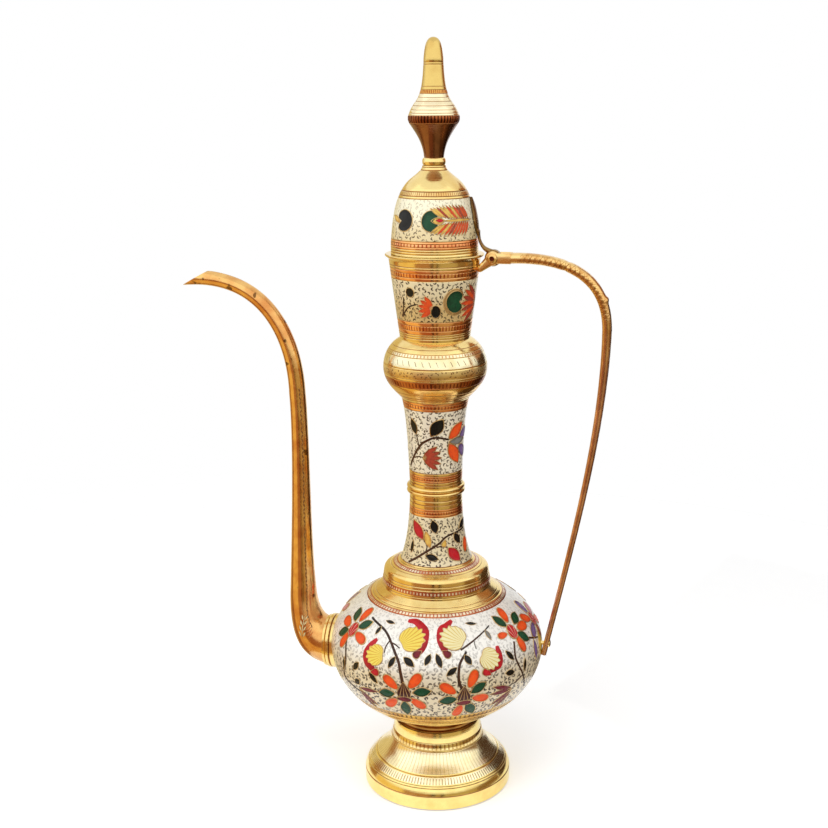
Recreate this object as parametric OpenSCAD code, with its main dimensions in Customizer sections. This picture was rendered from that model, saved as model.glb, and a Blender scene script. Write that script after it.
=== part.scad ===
// Surahi: a long-necked brass ewer on a flared foot, with a swan-neck spout,
// an open-looped handle and a hinged domed lid. Millimetres, +Z up. The origin
// is on the vessel's axis at the floor, the spout points to -X and the handle to +X.

/* [Foot] */
// Radius of the foot on the floor
foot_r = 46; // [42:0.5:52]
// Height of the upright rim band
foot_rim_h = 8.5; // [6:0.5:11]
// Height of the domed slope above the rim band
foot_dome_h = 21.5; // [18:0.5:28]
// Radius where the domed slope meets the upright collar
foot_waist_r = 28.8; // [27.5:0.1:31]
// Height of the upright collar
foot_collar_h = 11; // [8:0.5:14]
// Radius of the collar at its top
foot_collar_r = 26.6; // [25.5:0.1:27.2]
// How far the slope's swell holds its width above the rim band
foot_swell = 9.5; // [6:0.5:12]
// Wall of the foot
foot_wall = 1.8; // [1.4:0.1:2.4]

/* [Foot ring] */
// Radius of the ring between the foot and the belly
seat_r = 25.2; // [23:0.2:26]
// Height of that ring
seat_h = 4.5; // [3:0.5:7]
// Bore of that ring, which takes the belly's boss
seat_bore_r = 16; // [12:0.5:18]
// Depth of the ring's spigot in the foot
seat_spigot_h = 5; // [3:0.5:8]
// Depth of the belly's boss in the ring
boss_h = 3; // [2:0.5:4]

/* [Belly] */
// Radius of the belly at its widest
belly_r = 65.8; // [60:0.2:72]
// Radius of the belly's flat bottom
belly_base_r = 20.7; // [18.5:0.1:22.5]
// Height from the flat bottom to the widest line
belly_low_h = 46.5; // [40:0.5:54]
// Height from the widest line to the shoulder
belly_up_h = 32; // [27:0.5:37]
// Radius of the belly at the shoulder
shoulder_r = 43; // [41:0.2:46]
// Wall of the belly
belly_wall = 2; // [1.6:0.1:2.6]
// Height of the lip that joins the two bowls
lip_h = 3; // [2:0.5:5]

/* [Shoulder collar] */
// Height of the collar's lower slope
slope_h = 7; // [5:0.5:10]
// Radius at the foot of the drum
drum_foot_r = 33.6; // [32.6:0.2:35]
// Radius at the top of the drum
drum_r = 32.2; // [30.5:0.2:32.5]
// Height of the drum
drum_h = 9.5; // [7:0.5:13]
// Height of the crown that rolls in from the drum to the neck
crown_h = 7; // [5:0.5:10]
// Wall of the collar
collar_wall = 2; // [1.6:0.1:2.6]
// Depth of the collar's spigot in the belly
collar_spigot_h = 3; // [2:0.5:5]

/* [Lower neck] */
// Radius of the neck where it stands on the collar
neck_base_r = 22; // [21.4:0.1:24]
// Radius of the neck at its slimmest
neck_r = 15.9; // [14.5:0.1:16.6]
// Height of the lower neck
neck_low_h = 42; // [34:0.5:52]
// Wall of both necks
neck_wall = 1.6; // [1.3:0.1:2]
// Outer radius of the lower neck's spigot
neck_spigot_r = 20; // [19:0.1:20.6]
// Depth of that spigot in the collar
neck_spigot_h = 8; // [5:0.5:9]

/* [Neck ring] */
// Radius of the ring between the two necks
ring_r = 17.6; // [17:0.1:19]
// Height of that ring
ring_h = 5.5; // [4:0.5:8]
// Depth of the ring's two spigots
ring_spigot_h = 6; // [4:0.5:9]
// Wall of the ring's spigots
ring_spigot_wall = 1.4; // [1:0.1:1.8]

/* [Upper neck] */
// Height of the upper neck
neck_up_h = 53.5; // [44:0.5:64]
// Radius of the upper neck at its top
neck_top_r = 20.3; // [19.6:0.1:21.5]

/* [Bulb] */
// Radius of the bulb at its widest
bulb_r = 30.9; // [28:0.1:34]
// Height from the bulb's base to its widest line
bulb_low_h = 18.7; // [16:0.1:22]
// Height from the widest line to the bulb's top
bulb_up_h = 17.3; // [15:0.1:21]
// Wall of the bulb
bulb_wall = 1.6; // [1.3:0.1:2]
// Radius of the bulb's two openings
bulb_bore_r = 17.2; // [16.4:0.1:17.6]
// Depth of the spigots in those openings
bulb_spigot_h = 4; // [3:0.5:6]

/* [Cup] */
// Radius of the cup at its bottom
cup_base_r = 20.8; // [19.8:0.1:22]
// Radius of the cup at its top
cup_top_r = 26.8; // [25.8:0.1:28]
// Height of the cup
cup_h = 46; // [38:0.5:56]
// Wall of the cup
cup_wall = 1.6; // [1.3:0.1:2]

/* [Mouth rim] */
// Radius of the rim's flared lip
rim_r = 29; // [28.4:0.1:31]
// Height of the rim above the cup
rim_h = 3.5; // [3:0.1:5]
// Thickness of the lip's edge
rim_edge = 1.2; // [0.8:0.1:1.6]
// Radius of the mouth
mouth_r = 23; // [21.5:0.1:23.6]
// Depth of the rim's spigot in the cup
rim_spigot_h = 4; // [3:0.5:6]

/* [Lid] */
// Radius of the lid's upright skirt
lid_r = 25.5; // [24.8:0.1:26.6]
// Height of the skirt
lid_skirt_h = 6; // [5:0.5:8]
// Height of the domed part above the skirt
lid_dome_h = 37; // [32:0.5:44]
// Radius at the foot of the lid's neck
lid_neck_r = 13.2; // [12:0.1:14.5]
// Height of the lid's hollowed neck
lid_neck_h = 7; // [5.5:0.5:9]
// Radius of the flat that carries the finial
lid_crown_r = 6.8; // [6.2:0.1:7.6]
// Thickness of the crown above the nut
lid_crown_t = 6; // [4.5:0.5:7]
// Wall of the lid
lid_wall = 1.6; // [1.3:0.1:2]
// Clearance between the closed lid and the rim
lid_gap = 0.2; // [0.1:0.1:0.5]

/* [Lid bezel] */
// How far the bezel drops into the mouth
bezel_drop = 4; // [3:0.5:6]
// Radial clearance between the bezel and the mouth
bezel_gap = 0.5; // [0.3:0.1:1]
// Wall of the bezel
bezel_wall = 1.4; // [1:0.1:2]

/* [Finial] */
// Height of the collar under the finial
finial_collar_h = 4.5; // [3:0.5:6]
// Radius of the finial's stem
stem_r = 5.7; // [5.2:0.1:6.2]
// Height from the stem's foot to the widest line
flare_h = 22; // [18:0.5:27]
// Radius of the finial at its widest
flare_r = 14.8; // [13:0.1:17]
// Height of the rolled edge at that line
flare_edge_h = 5.5; // [4:0.5:7]
// How far that edge rolls in above and below
flare_edge = 0.65; // [0.4:0.05:1]
// Height from the widest line to the spire's shoulder
spire_h = 33; // [26:0.5:40]
// Radius at the spire's shoulder
spire_r = 5.6; // [4.6:0.1:6.4]
// Height of the rounded tip
tip_h = 11.5; // [8:0.5:15]
// Radius of the stud that holds the finial
stud_r = 2; // [1.6:0.1:2.6]
// Width across the flats of the nut
nut_af = 8; // [7:0.5:9]
// Thickness of the nut
nut_h = 3; // [2.5:0.5:4]
// Length of stud past the nut
stud_end = 1; // [0.5:0.5:2]

/* [Hinge] */
// Distance from the rim's edge to the hinge pin
hinge_reach = 5.8; // [5.6:0.1:8]
// Distance of the hinge pin below the top of the rim
hinge_drop = 2; // [1:0.1:2.6]
// Radius of the hinge pin
pin_r = 1.6; // [1.2:0.1:2]
// Radial running clearance of the strap on the pin
pin_gap = 0.08; // [0.03:0.01:0.1]
// Radius of the strap's eye
eye_r = 5; // [4.2:0.1:5.2]
// Thickness of the strap's eye along the pin
eye_w = 4; // [3:0.2:5]
// Side clearance of the eye in the fork
eye_gap = 0.25; // [0.15:0.05:0.4]
// Radius of the fork's cheeks
cheek_r = 4.2; // [3.6:0.1:4.6]
// Thickness of each cheek
cheek_t = 2.3; // [1.8:0.1:3]
// Distance from the pin to the back of the fork's slot
slot_back = 9.2; // [8.9:0.1:11]
// Metal behind the fork's slot
fork_web = 1.5; // [1:0.1:3]
// Radius of the pin's two heads
pin_head_r = 2.7; // [2.2:0.1:3.4]
// Thickness of the pin's two heads
pin_head_t = 1.1; // [0.8:0.1:1.6]

/* [Lid strap] */
// Thickness of the strap's leaf on the lid
leaf_t = 1.7; // [1.2:0.1:2.2]
// Width of the leaf at its broadest
leaf_w = 10; // [8:0.2:12]
// Height of the leaf's foot above the lid's lower edge
leaf_foot_h = 7; // [6.5:0.1:9]
// Length of the leaf from its foot to its point
leaf_h = 25.5; // [20:0.5:30]
// Height of the arm's root on the leaf
arm_root_h = 3; // [2:0.1:4]

/* [Handle] */
// Distance from the axis to the handle's outermost line
handle_reach = 101.2; // [92:0.2:112]
// How far the outermost line lies below the hinge pin
handle_bow_drop = 40; // [32:0.5:50]
// How far the handle's foot lies below the belly's widest line
handle_foot_drop = 3; // [0:0.5:8]
// Thickness of the handle behind the fork
handle_top_t = 6.2; // [5:0.1:7.5]
// Thickness of the handle at its outer bend
handle_bend_t = 5.5; // [4.8:0.1:7]
// Thickness of the handle at its foot
handle_foot_t = 3.4; // [3:0.1:4.5]
// Width of the handle at the top
handle_top_w = 8.6; // [7:0.1:10]
// Width of the handle at its foot
handle_foot_w = 5.6; // [5:0.1:7]
// Radius of the lug that joins the fork to the cup
lug_r = 2.3; // [1.8:0.1:2.6]
// Distance of the lug below the rim
lug_drop = 8; // [7.6:0.1:9.5]
// How far the lug is bedded in the cup's outline
lug_bed = 0.6; // [0.3:0.1:1]
// How far the handle's foot is bedded in the belly's outline
foot_bed = 0.1; // [0.05:0.05:0.4]
// Distance of the rivet above the handle's foot
rivet_lift = 7; // [5:0.5:10]
// Radius of the rivet in the handle's foot
rivet_r = 1.2; // [0.9:0.1:1.5]
// Radius of the rivet's two heads
rivet_head_r = 2.2; // [1.8:0.1:2.6]
// Thickness of the rivet's two heads
rivet_head_t = 0.9; // [0.6:0.1:1.4]

/* [Spout] */
// How far the spout's root lies below the belly's widest line
spout_drop = 6.3; // [3:0.1:10]
// Radius of the spout at its root
spout_root_r = 15.2; // [14.4:0.1:16]
// Radius of the spout above the elbow
spout_elbow_r = 8; // [7:0.1:9.5]
// Radius of the spout at the top of its stem
spout_stem_r = 5.05; // [4.4:0.05:6]
// Radius of the spout at its tip
spout_tip_r = 4.25; // [3.8:0.05:5]
// Wall of the spout
spout_wall = 1.2; // [1:0.1:1.5]
// Distance from the axis to the stem
stem_reach = 86.7; // [83:0.1:94]
// Height of the elbow from the root's axis to the stem
elbow_h = 36.8; // [32:0.2:44]
// Height of the stem
stem_h = 124; // [105:1:140]
// Height from the top of the stem to the tip
goose_h = 69; // [60:0.5:80]
// Distance from the stem to the tip
goose_reach = 63.2; // [54:0.1:78]
// How far the tip's mouth is cut back for each unit of its height
mouth_slant = 1.95; // [1:0.05:2.2]
// Radius of the hole in the belly under the spout
spout_hole_r = 13; // [10:0.2:13.8]

/* [Spout flange] */
// Radius of the flange against the belly
flange_r = 17; // [16.4:0.1:18.5]
// Distance of the flange's face from the belly's widest radius
flange_stand = 2.8; // [2:0.1:4]
// Radius of the bead between the flange and the spout
bead_r = 16.2; // [15.6:0.1:17.5]
// Thickness of that bead
bead_t = 2; // [1.5:0.1:3]

/* [Fits] */
// Clearance of a soldered spigot in its socket
fit = 0.05; // [0.03:0.01:0.1]

/* [Hidden] */
$fn = 96;
steps = 28;

// Bends of the outlines, as shares of the way across and the way up
foot_bend = [0.15, 0.8];
crown_bend = [[0.06, 0.57], [0.57, 0.43]];
low_neck_bend = [[0.56, 0.155], [1, 0.58]];
up_neck_bend = [[0.09, 0.34], [0.32, 0.8]];
bulb_low_bend = [[0.3, 0.21], [1, 0.48]];
bulb_up_bend = [[0, 0.39], [0.34, 0.8]];
rim_bend = [[0, 0.5], [0.64, 0.74]];
lid_bend = [[0.09, 0.27], [0.12, 0.77]];
lid_neck_bend = [[0.47, 0.34], [0.98, 0.64]];
flare_bend = [[0.08, 0.44], [0.56, 0.72]];
spire_bend = [[0.46, 0.2], [0.81, 0.5]];
tip_bend = [[0.12, 0.57], [0.25, 1]];
elbow_in_bend = [[0.75, 0.03], [0.95, 0.4]];
elbow_out_bend = [[0.62, 0.06], [1.12, 0.25]];
stem_bow = [0.06, -0.25];
goose_bend = [[0.012, 0.54], [0.31, 1.03]];
top_bend = [[0.5, -0.03], [0.99, 0.14]];
down_bend = [[0.018, 0.305], [0.55, 0.665]];

// Shape of the strap's leaf and arm
leaf_low_share = 0.25;
leaf_full_share = 0.6;
leaf_point_share = 0.8;
leaf_point_w = 0.25;
leaf_steps = 12;
arm_top_turn = 40;
arm_low_turn = 18;

// How much fuller than an ellipse the handle's section is, and the pin heads' taper
handle_fullness = 0.7;
pin_head_taper = 0.7;

// How far a cut runs past the face it opens
over = 1;

// Colours of the metal
brass = "#c9a03c";
pale_enamel = "#d9d6c8";
dark_brass = "#9a6a2c";

// Heights of the stacked pieces
foot_h = foot_rim_h + foot_dome_h + foot_collar_h;
belly_z = foot_h + seat_h;
wide_z = belly_z + belly_low_h;
shoulder_z = wide_z + belly_up_h;
drum_z = shoulder_z + slope_h;
crown_z = drum_z + drum_h;
neck_z = crown_z + crown_h;
ring_z = neck_z + neck_low_h;
upper_z = ring_z + ring_h;
bulb_z = upper_z + neck_up_h;
cup_z = bulb_z + bulb_low_h + bulb_up_h;
rim_z = cup_z + cup_h;
rim_top_z = rim_z + rim_h;
lid_z = rim_top_z + lid_gap;
lid_top_z = lid_z + lid_skirt_h + lid_dome_h + lid_neck_h;
finial_z = lid_top_z + finial_collar_h;

// Curves in the plane of a piece's outline

// A point of a cubic curve with control points p
function curve_at(p, t) =
    let (u = 1 - t)
    u * u * u * p[0] + 3 * u * u * t * p[1] + 3 * u * t * t * p[2] + t * t * t * p[3];

// The direction of that curve
function curve_way(p, t) =
    let (u = 1 - t, v = u * u * (p[1] - p[0]) + 2 * u * t * (p[2] - p[1]) + t * t * (p[3] - p[2]))
    v / norm(v);

// A curve from a to b, with its two handles at shares of the way across and the way up
function bent(a, b, bend) =
    let (w = b - a)
    [a, a + [bend[0][0] * w[0], bend[0][1] * w[1]], a + [bend[1][0] * w[0], bend[1][1] * w[1]], b];

// The curve as points, both ends included
function curve(p, n = steps) = [for (i = [0:n]) curve_at(p, i / n)];

// An arc of an ellipse round [0, z], from angle a to angle b
function oval(z, rx, rz, a, b, n = steps) =
    [for (i = [0:n]) let (t = a + (b - a) * i / n) [rx * cos(t), z + rz * sin(t)]];

// A line of points moved to its left by w, which is inwards on the way up
function inset(p, w) =
    [for (i = [0:len(p) - 1])
        let (v = p[min(i + 1, len(p) - 1)] - p[max(i - 1, 0)], d = v / norm(v))
        p[i] + w * [-d[1], d[0]]];

// The points of a line whose height lies strictly between a and b
function between(p, a, b) = [for (q = p) if (q[1] > a && q[1] < b) q];

// The same points in the other order
function back(p) = [for (i = [len(p) - 1:-1:0]) p[i]];

// A turned piece from its outline
module turned(outline) rotate_extrude() polygon(outline);

// A cylinder along +X from x1 to x2, at height z
module rod_x(x1, x2, z, r) translate([x1, 0, z]) rotate([0, 90, 0]) cylinder(h = x2 - x1, r = r);

// A cylinder along Y, centred on the plane of the spout and the handle
module rod_y(x, z, r, w) translate([x, w / 2, z]) rotate([90, 0, 0]) cylinder(h = w, r = r);

// A flat outline in X and Z, w thick and centred on the same plane
module plate_y(w) translate([0, w / 2, 0]) rotate([90, 0, 0]) linear_extrude(w) children();

// Outlines of the turned pieces

foot_draw = foot_waist_r - foot_r;
foot_slope = [[foot_r, foot_rim_h], [foot_r + foot_bend[0] * foot_draw, foot_rim_h + foot_swell],
              [foot_r + foot_bend[1] * foot_draw, foot_rim_h + foot_dome_h - foot_swell],
              [foot_waist_r, foot_rim_h + foot_dome_h]];
foot_socket_r = foot_collar_r - foot_wall;

// The belly's two quarter ovals, which meet its bottom and its shoulder
low_oval = belly_low_h / sqrt(1 - pow(belly_base_r / belly_r, 2));
up_oval = belly_up_h / sqrt(1 - pow(shoulder_r / belly_r, 2));
belly_in_r = belly_r - belly_wall;
low_line = oval(wide_z, belly_r, low_oval, -asin(belly_low_h / low_oval), 0);
up_line = oval(wide_z, belly_r, up_oval, 0, asin(belly_up_h / up_oval));
low_in = oval(wide_z, belly_in_r, low_oval - belly_wall,
              -asin((belly_low_h - belly_wall) / (low_oval - belly_wall)), 0);
up_in = oval(wide_z, belly_in_r, up_oval - belly_wall,
             0, asin(belly_up_h / (up_oval - belly_wall)));
lip_r = belly_r - belly_wall / 2;
shoulder_bore_r = up_in[steps][0];
collar_spigot_r = shoulder_bore_r - fit;

crown_roll = bent([drum_r, crown_z], [neck_base_r, neck_z], crown_bend);

low_neck_line = curve(bent([neck_base_r, neck_z], [neck_r, ring_z], low_neck_bend));
neck_bore_r = neck_r - neck_wall;
up_neck_line = curve(bent([neck_r, upper_z], [neck_top_r, bulb_z], up_neck_bend));
ring_spigot_r = neck_bore_r - fit;
bulb_spigot_r = bulb_bore_r - fit;

bulb_wide_z = bulb_z + bulb_low_h;
bulb_top = bent([bulb_r, bulb_wide_z], [cup_base_r, cup_z], bulb_up_bend);
bulb_line = concat(
    curve(bent([neck_top_r, bulb_z], [bulb_r, bulb_wide_z], bulb_low_bend)),
    [for (i = [1:steps]) curve_at(bulb_top, i / steps)]);

// Outer radius of the cup at a height
function cup_at(z) = cup_base_r + (cup_top_r - cup_base_r) * (z - cup_z) / cup_h;
rim_spigot_r = cup_at(rim_z - rim_spigot_h) - cup_wall - fit;

lid_wall_z = lid_z + lid_skirt_h;
lid_neck_z = lid_wall_z + lid_dome_h;
lid_line = curve(bent([lid_r, lid_wall_z], [lid_neck_r, lid_neck_z], lid_bend));
lid_hollow = curve(bent([lid_neck_r, lid_neck_z], [lid_crown_r, lid_top_z], lid_neck_bend));
lid_bore_r = lid_r - lid_wall;
nut_z = lid_top_z - lid_crown_t;
stud_hole_r = stud_r + fit;

// Outer radius of the lid's dome at a height
function lid_at(z) = lookup(z, [for (q = lid_line) [q[1], q[0]]]);

wide_finial_z = finial_z + flare_h;
spire_z = wide_finial_z + spire_h;
flare_low = [flare_r - flare_edge, wide_finial_z - flare_edge_h / 2];
flare_high = [flare_r - flare_edge, wide_finial_z + flare_edge_h / 2];
flare_flat_h = flare_edge_h / 3;
tip_line = bent([spire_r, spire_z], [0, spire_z + tip_h], tip_bend);
finial_line = concat(
    curve(bent([stem_r, finial_z], flare_low, flare_bend)),
    [[flare_r, wide_finial_z - flare_flat_h / 2], [flare_r, wide_finial_z + flare_flat_h / 2]],
    curve(bent(flare_high, [spire_r, spire_z], spire_bend)),
    [for (i = [1:steps]) curve_at(tip_line, i / steps)]);

// Hinge, fork and handle
hinge_x = rim_r + hinge_reach;
hinge_z = rim_top_z - hinge_drop;
slot_w = eye_w + 2 * eye_gap;
fork_w = slot_w + 2 * cheek_t;
lug_z = rim_top_z - lug_drop;
lug_x = cup_at(lug_z) + lug_r - lug_bed;
fork_end_x = hinge_x + slot_back + fork_web;

bow_at = [handle_reach, hinge_z - handle_bow_drop];
top_run = bent([fork_end_x - fork_web / 2, hinge_z], bow_at, top_bend);
foot_z = wide_z - handle_foot_drop;
foot_x = belly_r + handle_foot_t / 2 - foot_bed;
down_run = bent(bow_at, [foot_x, foot_z], down_bend);
handle_rings = 18;
handle_sides = 16;

// Where the foot's rivet crosses the handle, and the outermost point of the bar under its head
foot_line = [for (q = back(curve(down_run))) [q[1], q[0]]];
rivet_z = foot_z + rivet_lift;
rivet_wall_r = belly_in_r * sqrt(1 - pow((rivet_z + rivet_head_r - wide_z) / (up_oval - belly_wall), 2));
rivet_in_x = sqrt(pow(rivet_wall_r, 2) - pow(rivet_head_r, 2)) - fit;
rivet_out_x = lookup(rivet_z + rivet_head_r, foot_line) + handle_foot_t / 2 + 2 * fit;

// Spout
root_z = wide_z - spout_drop;
flange_x = belly_r + flange_stand;
root_x = flange_x + bead_t;
elbow_z = root_z + elbow_h;
goose_z = elbow_z + stem_h;
tip_z = goose_z + goose_h;
tip_x = stem_reach + goose_reach;
elbow_in = bent([-root_x, root_z + spout_root_r], [spout_elbow_r - stem_reach, elbow_z], elbow_in_bend);
elbow_out = bent([-root_x, root_z - spout_root_r], [-spout_elbow_r - stem_reach, elbow_z], elbow_out_bend);
stem_run = [[-stem_reach, elbow_z], [-stem_reach - stem_bow[0] * spout_elbow_r, elbow_z + stem_h / 4],
            [-stem_reach - stem_bow[1] * spout_elbow_r, goose_z - stem_h / 4], [-stem_reach, goose_z]];
goose_run = bent([-stem_reach, goose_z], [-tip_x, tip_z], goose_bend);
elbow_rings = 16;
stem_rings = 14;
goose_rings = 20;
mouth_rings = 4;
spout_sides = 24;

// Foot

module foot_shell() {
    slope = curve(foot_slope);
    inner = between(inset(slope, foot_wall), foot_rim_h - foot_wall, foot_rim_h + foot_dome_h);
    color(brass) turned(concat(
        [[foot_r - foot_wall, 0], [foot_r, 0]], slope,
        [[foot_collar_r, foot_h], [foot_socket_r, foot_h],
         [foot_waist_r - foot_wall, foot_rim_h + foot_dome_h]],
        back(inner), [[foot_r - foot_wall, foot_rim_h - foot_wall]]));
}

module foot_ring() {
    spigot_r = foot_socket_r - fit;
    roll = seat_h / 4;
    color(dark_brass) turned([
        [seat_bore_r, foot_h - seat_spigot_h], [spigot_r, foot_h - seat_spigot_h],
        [spigot_r, foot_h], [seat_r, foot_h], [seat_r, foot_h + roll],
        [seat_r - roll / 2, foot_h + 2 * roll], [seat_r, foot_h + 3 * roll],
        [seat_r, belly_z], [seat_bore_r, belly_z]]);
}

// Belly

module spout_hole() rod_x(-root_x, 0, root_z, spout_hole_r);

module rivet_hole() rod_x(0, rivet_out_x + rivet_head_t, rivet_z, rivet_r + fit);

module belly_form() turned(concat([[0, belly_z]], low_line, up_line, [[0, shoulder_z]]));

module belly_lower_bowl() color(pale_enamel) difference() {
    turned(concat(
        [[0, belly_z - boss_h], [seat_bore_r - fit, belly_z - boss_h], [seat_bore_r - fit, belly_z]],
        low_line,
        [[lip_r - fit, wide_z], [lip_r - fit, wide_z + lip_h - fit], [belly_in_r, wide_z + lip_h - fit]],
        back(low_in), [[0, belly_z + belly_wall]]));
    spout_hole();
    rivet_hole();
}

module belly_upper_bowl() color(pale_enamel) difference() {
    turned(concat(
        [[lip_r, wide_z]], up_line,
        back(between(up_in, wide_z + lip_h, shoulder_z + fit)),
        [[lip_r, wide_z + lip_h]]));
    spout_hole();
    rivet_hole();
}

// Shoulder and neck

module shoulder_collar() color(brass) turned(concat(
    [[collar_spigot_r - collar_wall, shoulder_z - collar_spigot_h],
     [collar_spigot_r, shoulder_z - collar_spigot_h],
     [collar_spigot_r, shoulder_z], [shoulder_r, shoulder_z], [drum_foot_r, drum_z]],
    curve(crown_roll),
    [[neck_spigot_r + fit, neck_z], [neck_spigot_r + fit, crown_z - collar_wall],
     [drum_r - collar_wall, crown_z - collar_wall], [drum_foot_r - collar_wall, drum_z]]));

module lower_neck() {
    inner = between(inset(low_neck_line, neck_wall), neck_z + neck_wall, ring_z - neck_wall);
    color(pale_enamel) turned(concat(
        [[neck_spigot_r - neck_wall, neck_z - neck_spigot_h],
         [neck_spigot_r, neck_z - neck_spigot_h], [neck_spigot_r, neck_z]],
        low_neck_line, [[neck_bore_r, ring_z]], back(inner)));
}

module neck_ring() {
    bore = ring_spigot_r - ring_spigot_wall;
    roll = ring_h / 4;
    color(brass) turned([
        [bore, ring_z - ring_spigot_h], [ring_spigot_r, ring_z - ring_spigot_h],
        [ring_spigot_r, ring_z], [ring_r - roll / 2, ring_z], [ring_r, ring_z + roll / 2],
        [ring_r, ring_z + 1.5 * roll], [ring_r - roll / 2, ring_z + 2 * roll],
        [ring_r, ring_z + 2.5 * roll], [ring_r, upper_z - roll / 2], [ring_r - roll / 2, upper_z],
        [ring_spigot_r, upper_z], [ring_spigot_r, upper_z + ring_spigot_h],
        [bore, upper_z + ring_spigot_h]]);
}

module upper_neck() {
    inner = between(inset(up_neck_line, neck_wall), upper_z + neck_wall, bulb_z - bulb_spigot_h);
    color(pale_enamel) turned(concat(
        [[neck_bore_r, upper_z]], up_neck_line,
        [[bulb_spigot_r, bulb_z], [bulb_spigot_r, bulb_z + bulb_spigot_h],
         [bulb_spigot_r - neck_wall, bulb_z + bulb_spigot_h], [bulb_spigot_r - neck_wall, bulb_z]],
        back(inner)));
}

module neck_bulb() {
    inner = between(inset(bulb_line, bulb_wall), bulb_z + bulb_spigot_h, cup_z - bulb_spigot_h);
    color(brass) turned(concat(
        [[bulb_bore_r, bulb_z]], bulb_line,
        [[bulb_bore_r, cup_z], [bulb_bore_r, cup_z - bulb_wall]],
        back(inner), [[bulb_bore_r, bulb_z + bulb_wall]]));
}

// Cup and mouth

module mouth_cup() {
    spigot_in = bulb_spigot_r - cup_wall;
    color(pale_enamel) turned([
        [spigot_in, cup_z - bulb_spigot_h], [bulb_spigot_r, cup_z - bulb_spigot_h],
        [bulb_spigot_r, cup_z], [cup_base_r, cup_z], [cup_top_r, rim_z],
        [cup_top_r - cup_wall, rim_z],
        [cup_at(cup_z + bulb_spigot_h) - cup_wall, cup_z + bulb_spigot_h],
        [spigot_in, cup_z + cup_wall]]);
}

module mouth_rim() {
    edge_z = rim_top_z - rim_edge;
    flare = curve(bent([cup_top_r, rim_z], [rim_r, edge_z], rim_bend));
    color(brass) turned(concat(
        [[mouth_r, rim_z - rim_spigot_h], [rim_spigot_r, rim_z - rim_spigot_h], [rim_spigot_r, rim_z]],
        flare, [[rim_r, rim_top_z], [mouth_r, rim_top_z]]));
}

// Spout

module spout_flange() color(dark_brass) difference() {
    rod_x(-flange_x, -belly_r / 2, root_z, flange_r);
    rod_x(-flange_x - over, 0, root_z, spout_hole_r);
    belly_form();
}

module spout_bead() color(brass) translate([-root_x, 0, root_z]) rotate([0, 90, 0])
    turned([[spout_hole_r, 0], [spout_root_r, 0], [bead_r, bead_t / 3], [bead_r, 2 * bead_t / 3],
            [spout_root_r, bead_t], [spout_hole_r, bead_t]]);

// The spout's rings as [centre, direction, radius, slant]; the elbow's span its inner and outer lines
spout_path = concat(
    [for (i = [0:elbow_rings])
        let (a = curve_at(elbow_in, i / elbow_rings), b = curve_at(elbow_out, i / elbow_rings), w = a - b)
        [(a + b) / 2, [-w[1], w[0]] / norm(w), norm(w) / 2, 0]],
    [for (i = [1:stem_rings]) let (t = i / stem_rings)
        [curve_at(stem_run, t), curve_way(stem_run, t),
         spout_stem_r + (spout_elbow_r - spout_stem_r) * pow(1 - t, 2), 0]],
    [for (i = [1:goose_rings]) let (t = i / goose_rings)
        [curve_at(goose_run, t), curve_way(goose_run, t),
         spout_stem_r + (spout_tip_r - spout_stem_r) * t, mouth_slant * max(0, 1 - (goose_rings - i) / mouth_rings)]]);

// One ring of points across the path, w narrower than the path's radius
function spout_ring(s, w) =
    let (c = s[0], d = s[1], up = [d[1], -d[0]], r = s[2] - w)
    [for (k = [0:spout_sides - 1])
        let (a = 360 * k / spout_sides, h = r * cos(a), q = c + h * up - s[3] * h * d)
        [q[0], r * sin(a), q[1]]];

module spout_tube() {
    rings = len(spout_path);
    m = spout_sides;
    outer = [for (s = spout_path) each spout_ring(s, 0)];
    inner = [for (s = spout_path) each spout_ring(s, spout_wall)];
    o = rings * m;
    walls = [for (i = [0:rings - 2], k = [0:m - 1])
        let (a = i * m + k, b = i * m + (k + 1) % m)
        each [[a, b, b + m], [a, b + m, a + m],
              [o + b, o + a, o + b + m], [o + b + m, o + a, o + a + m]]];
    last = (rings - 1) * m;
    ends = [for (k = [0:m - 1])
        let (a = k, b = (k + 1) % m)
        each [[b, a, o + a], [b, o + a, o + b],
              [last + a, last + b, o + last + a], [o + last + a, last + b, o + last + b]]];
    color(brass) polyhedron(concat(outer, inner), concat(walls, ends));
}

// Handle

// The handle's rings as [centre, direction, thickness, width]
handle_path = concat(
    [for (i = [0:handle_rings]) let (t = i / handle_rings)
        [curve_at(top_run, t), i == 0 ? [1, 0] : curve_way(top_run, t),
         handle_top_t + (handle_bend_t - handle_top_t) * t, handle_top_w]],
    [for (i = [1:handle_rings]) let (t = i / handle_rings, s = 1 - pow(1 - t, 2))
        [curve_at(down_run, t), curve_way(down_run, t),
         handle_bend_t + (handle_foot_t - handle_bend_t) * s,
         handle_top_w + (handle_foot_w - handle_top_w) * t]]);

// One ring of the handle: an oval that is fuller than an ellipse
function handle_ring(s) =
    let (c = s[0], d = s[1], up = [d[1], -d[0]])
    [for (k = [0:handle_sides - 1])
        let (a = 360 * k / handle_sides, ca = cos(a), sa = sin(a),
             h = s[2] / 2 * sign(ca) * pow(abs(ca), handle_fullness),
             w = s[3] / 2 * sign(sa) * pow(abs(sa), handle_fullness), q = c + h * up)
        [q[0], w, q[1]]];

module handle_bar() {
    rings = len(handle_path);
    m = handle_sides;
    points = [for (s = handle_path) each handle_ring(s)];
    last = (rings - 1) * m;
    faces = [for (i = [0:rings - 2], k = [0:m - 1])
        let (a = i * m + k, b = i * m + (k + 1) % m)
        each [[b, a, b + m], [b + m, a, a + m]]];
    start = [for (k = [1:m - 2]) [0, k, k + 1]];
    end = [for (k = [1:m - 2]) [last, last + k + 1, last + k]];
    polyhedron(points, concat(faces, start, end));
}

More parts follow.
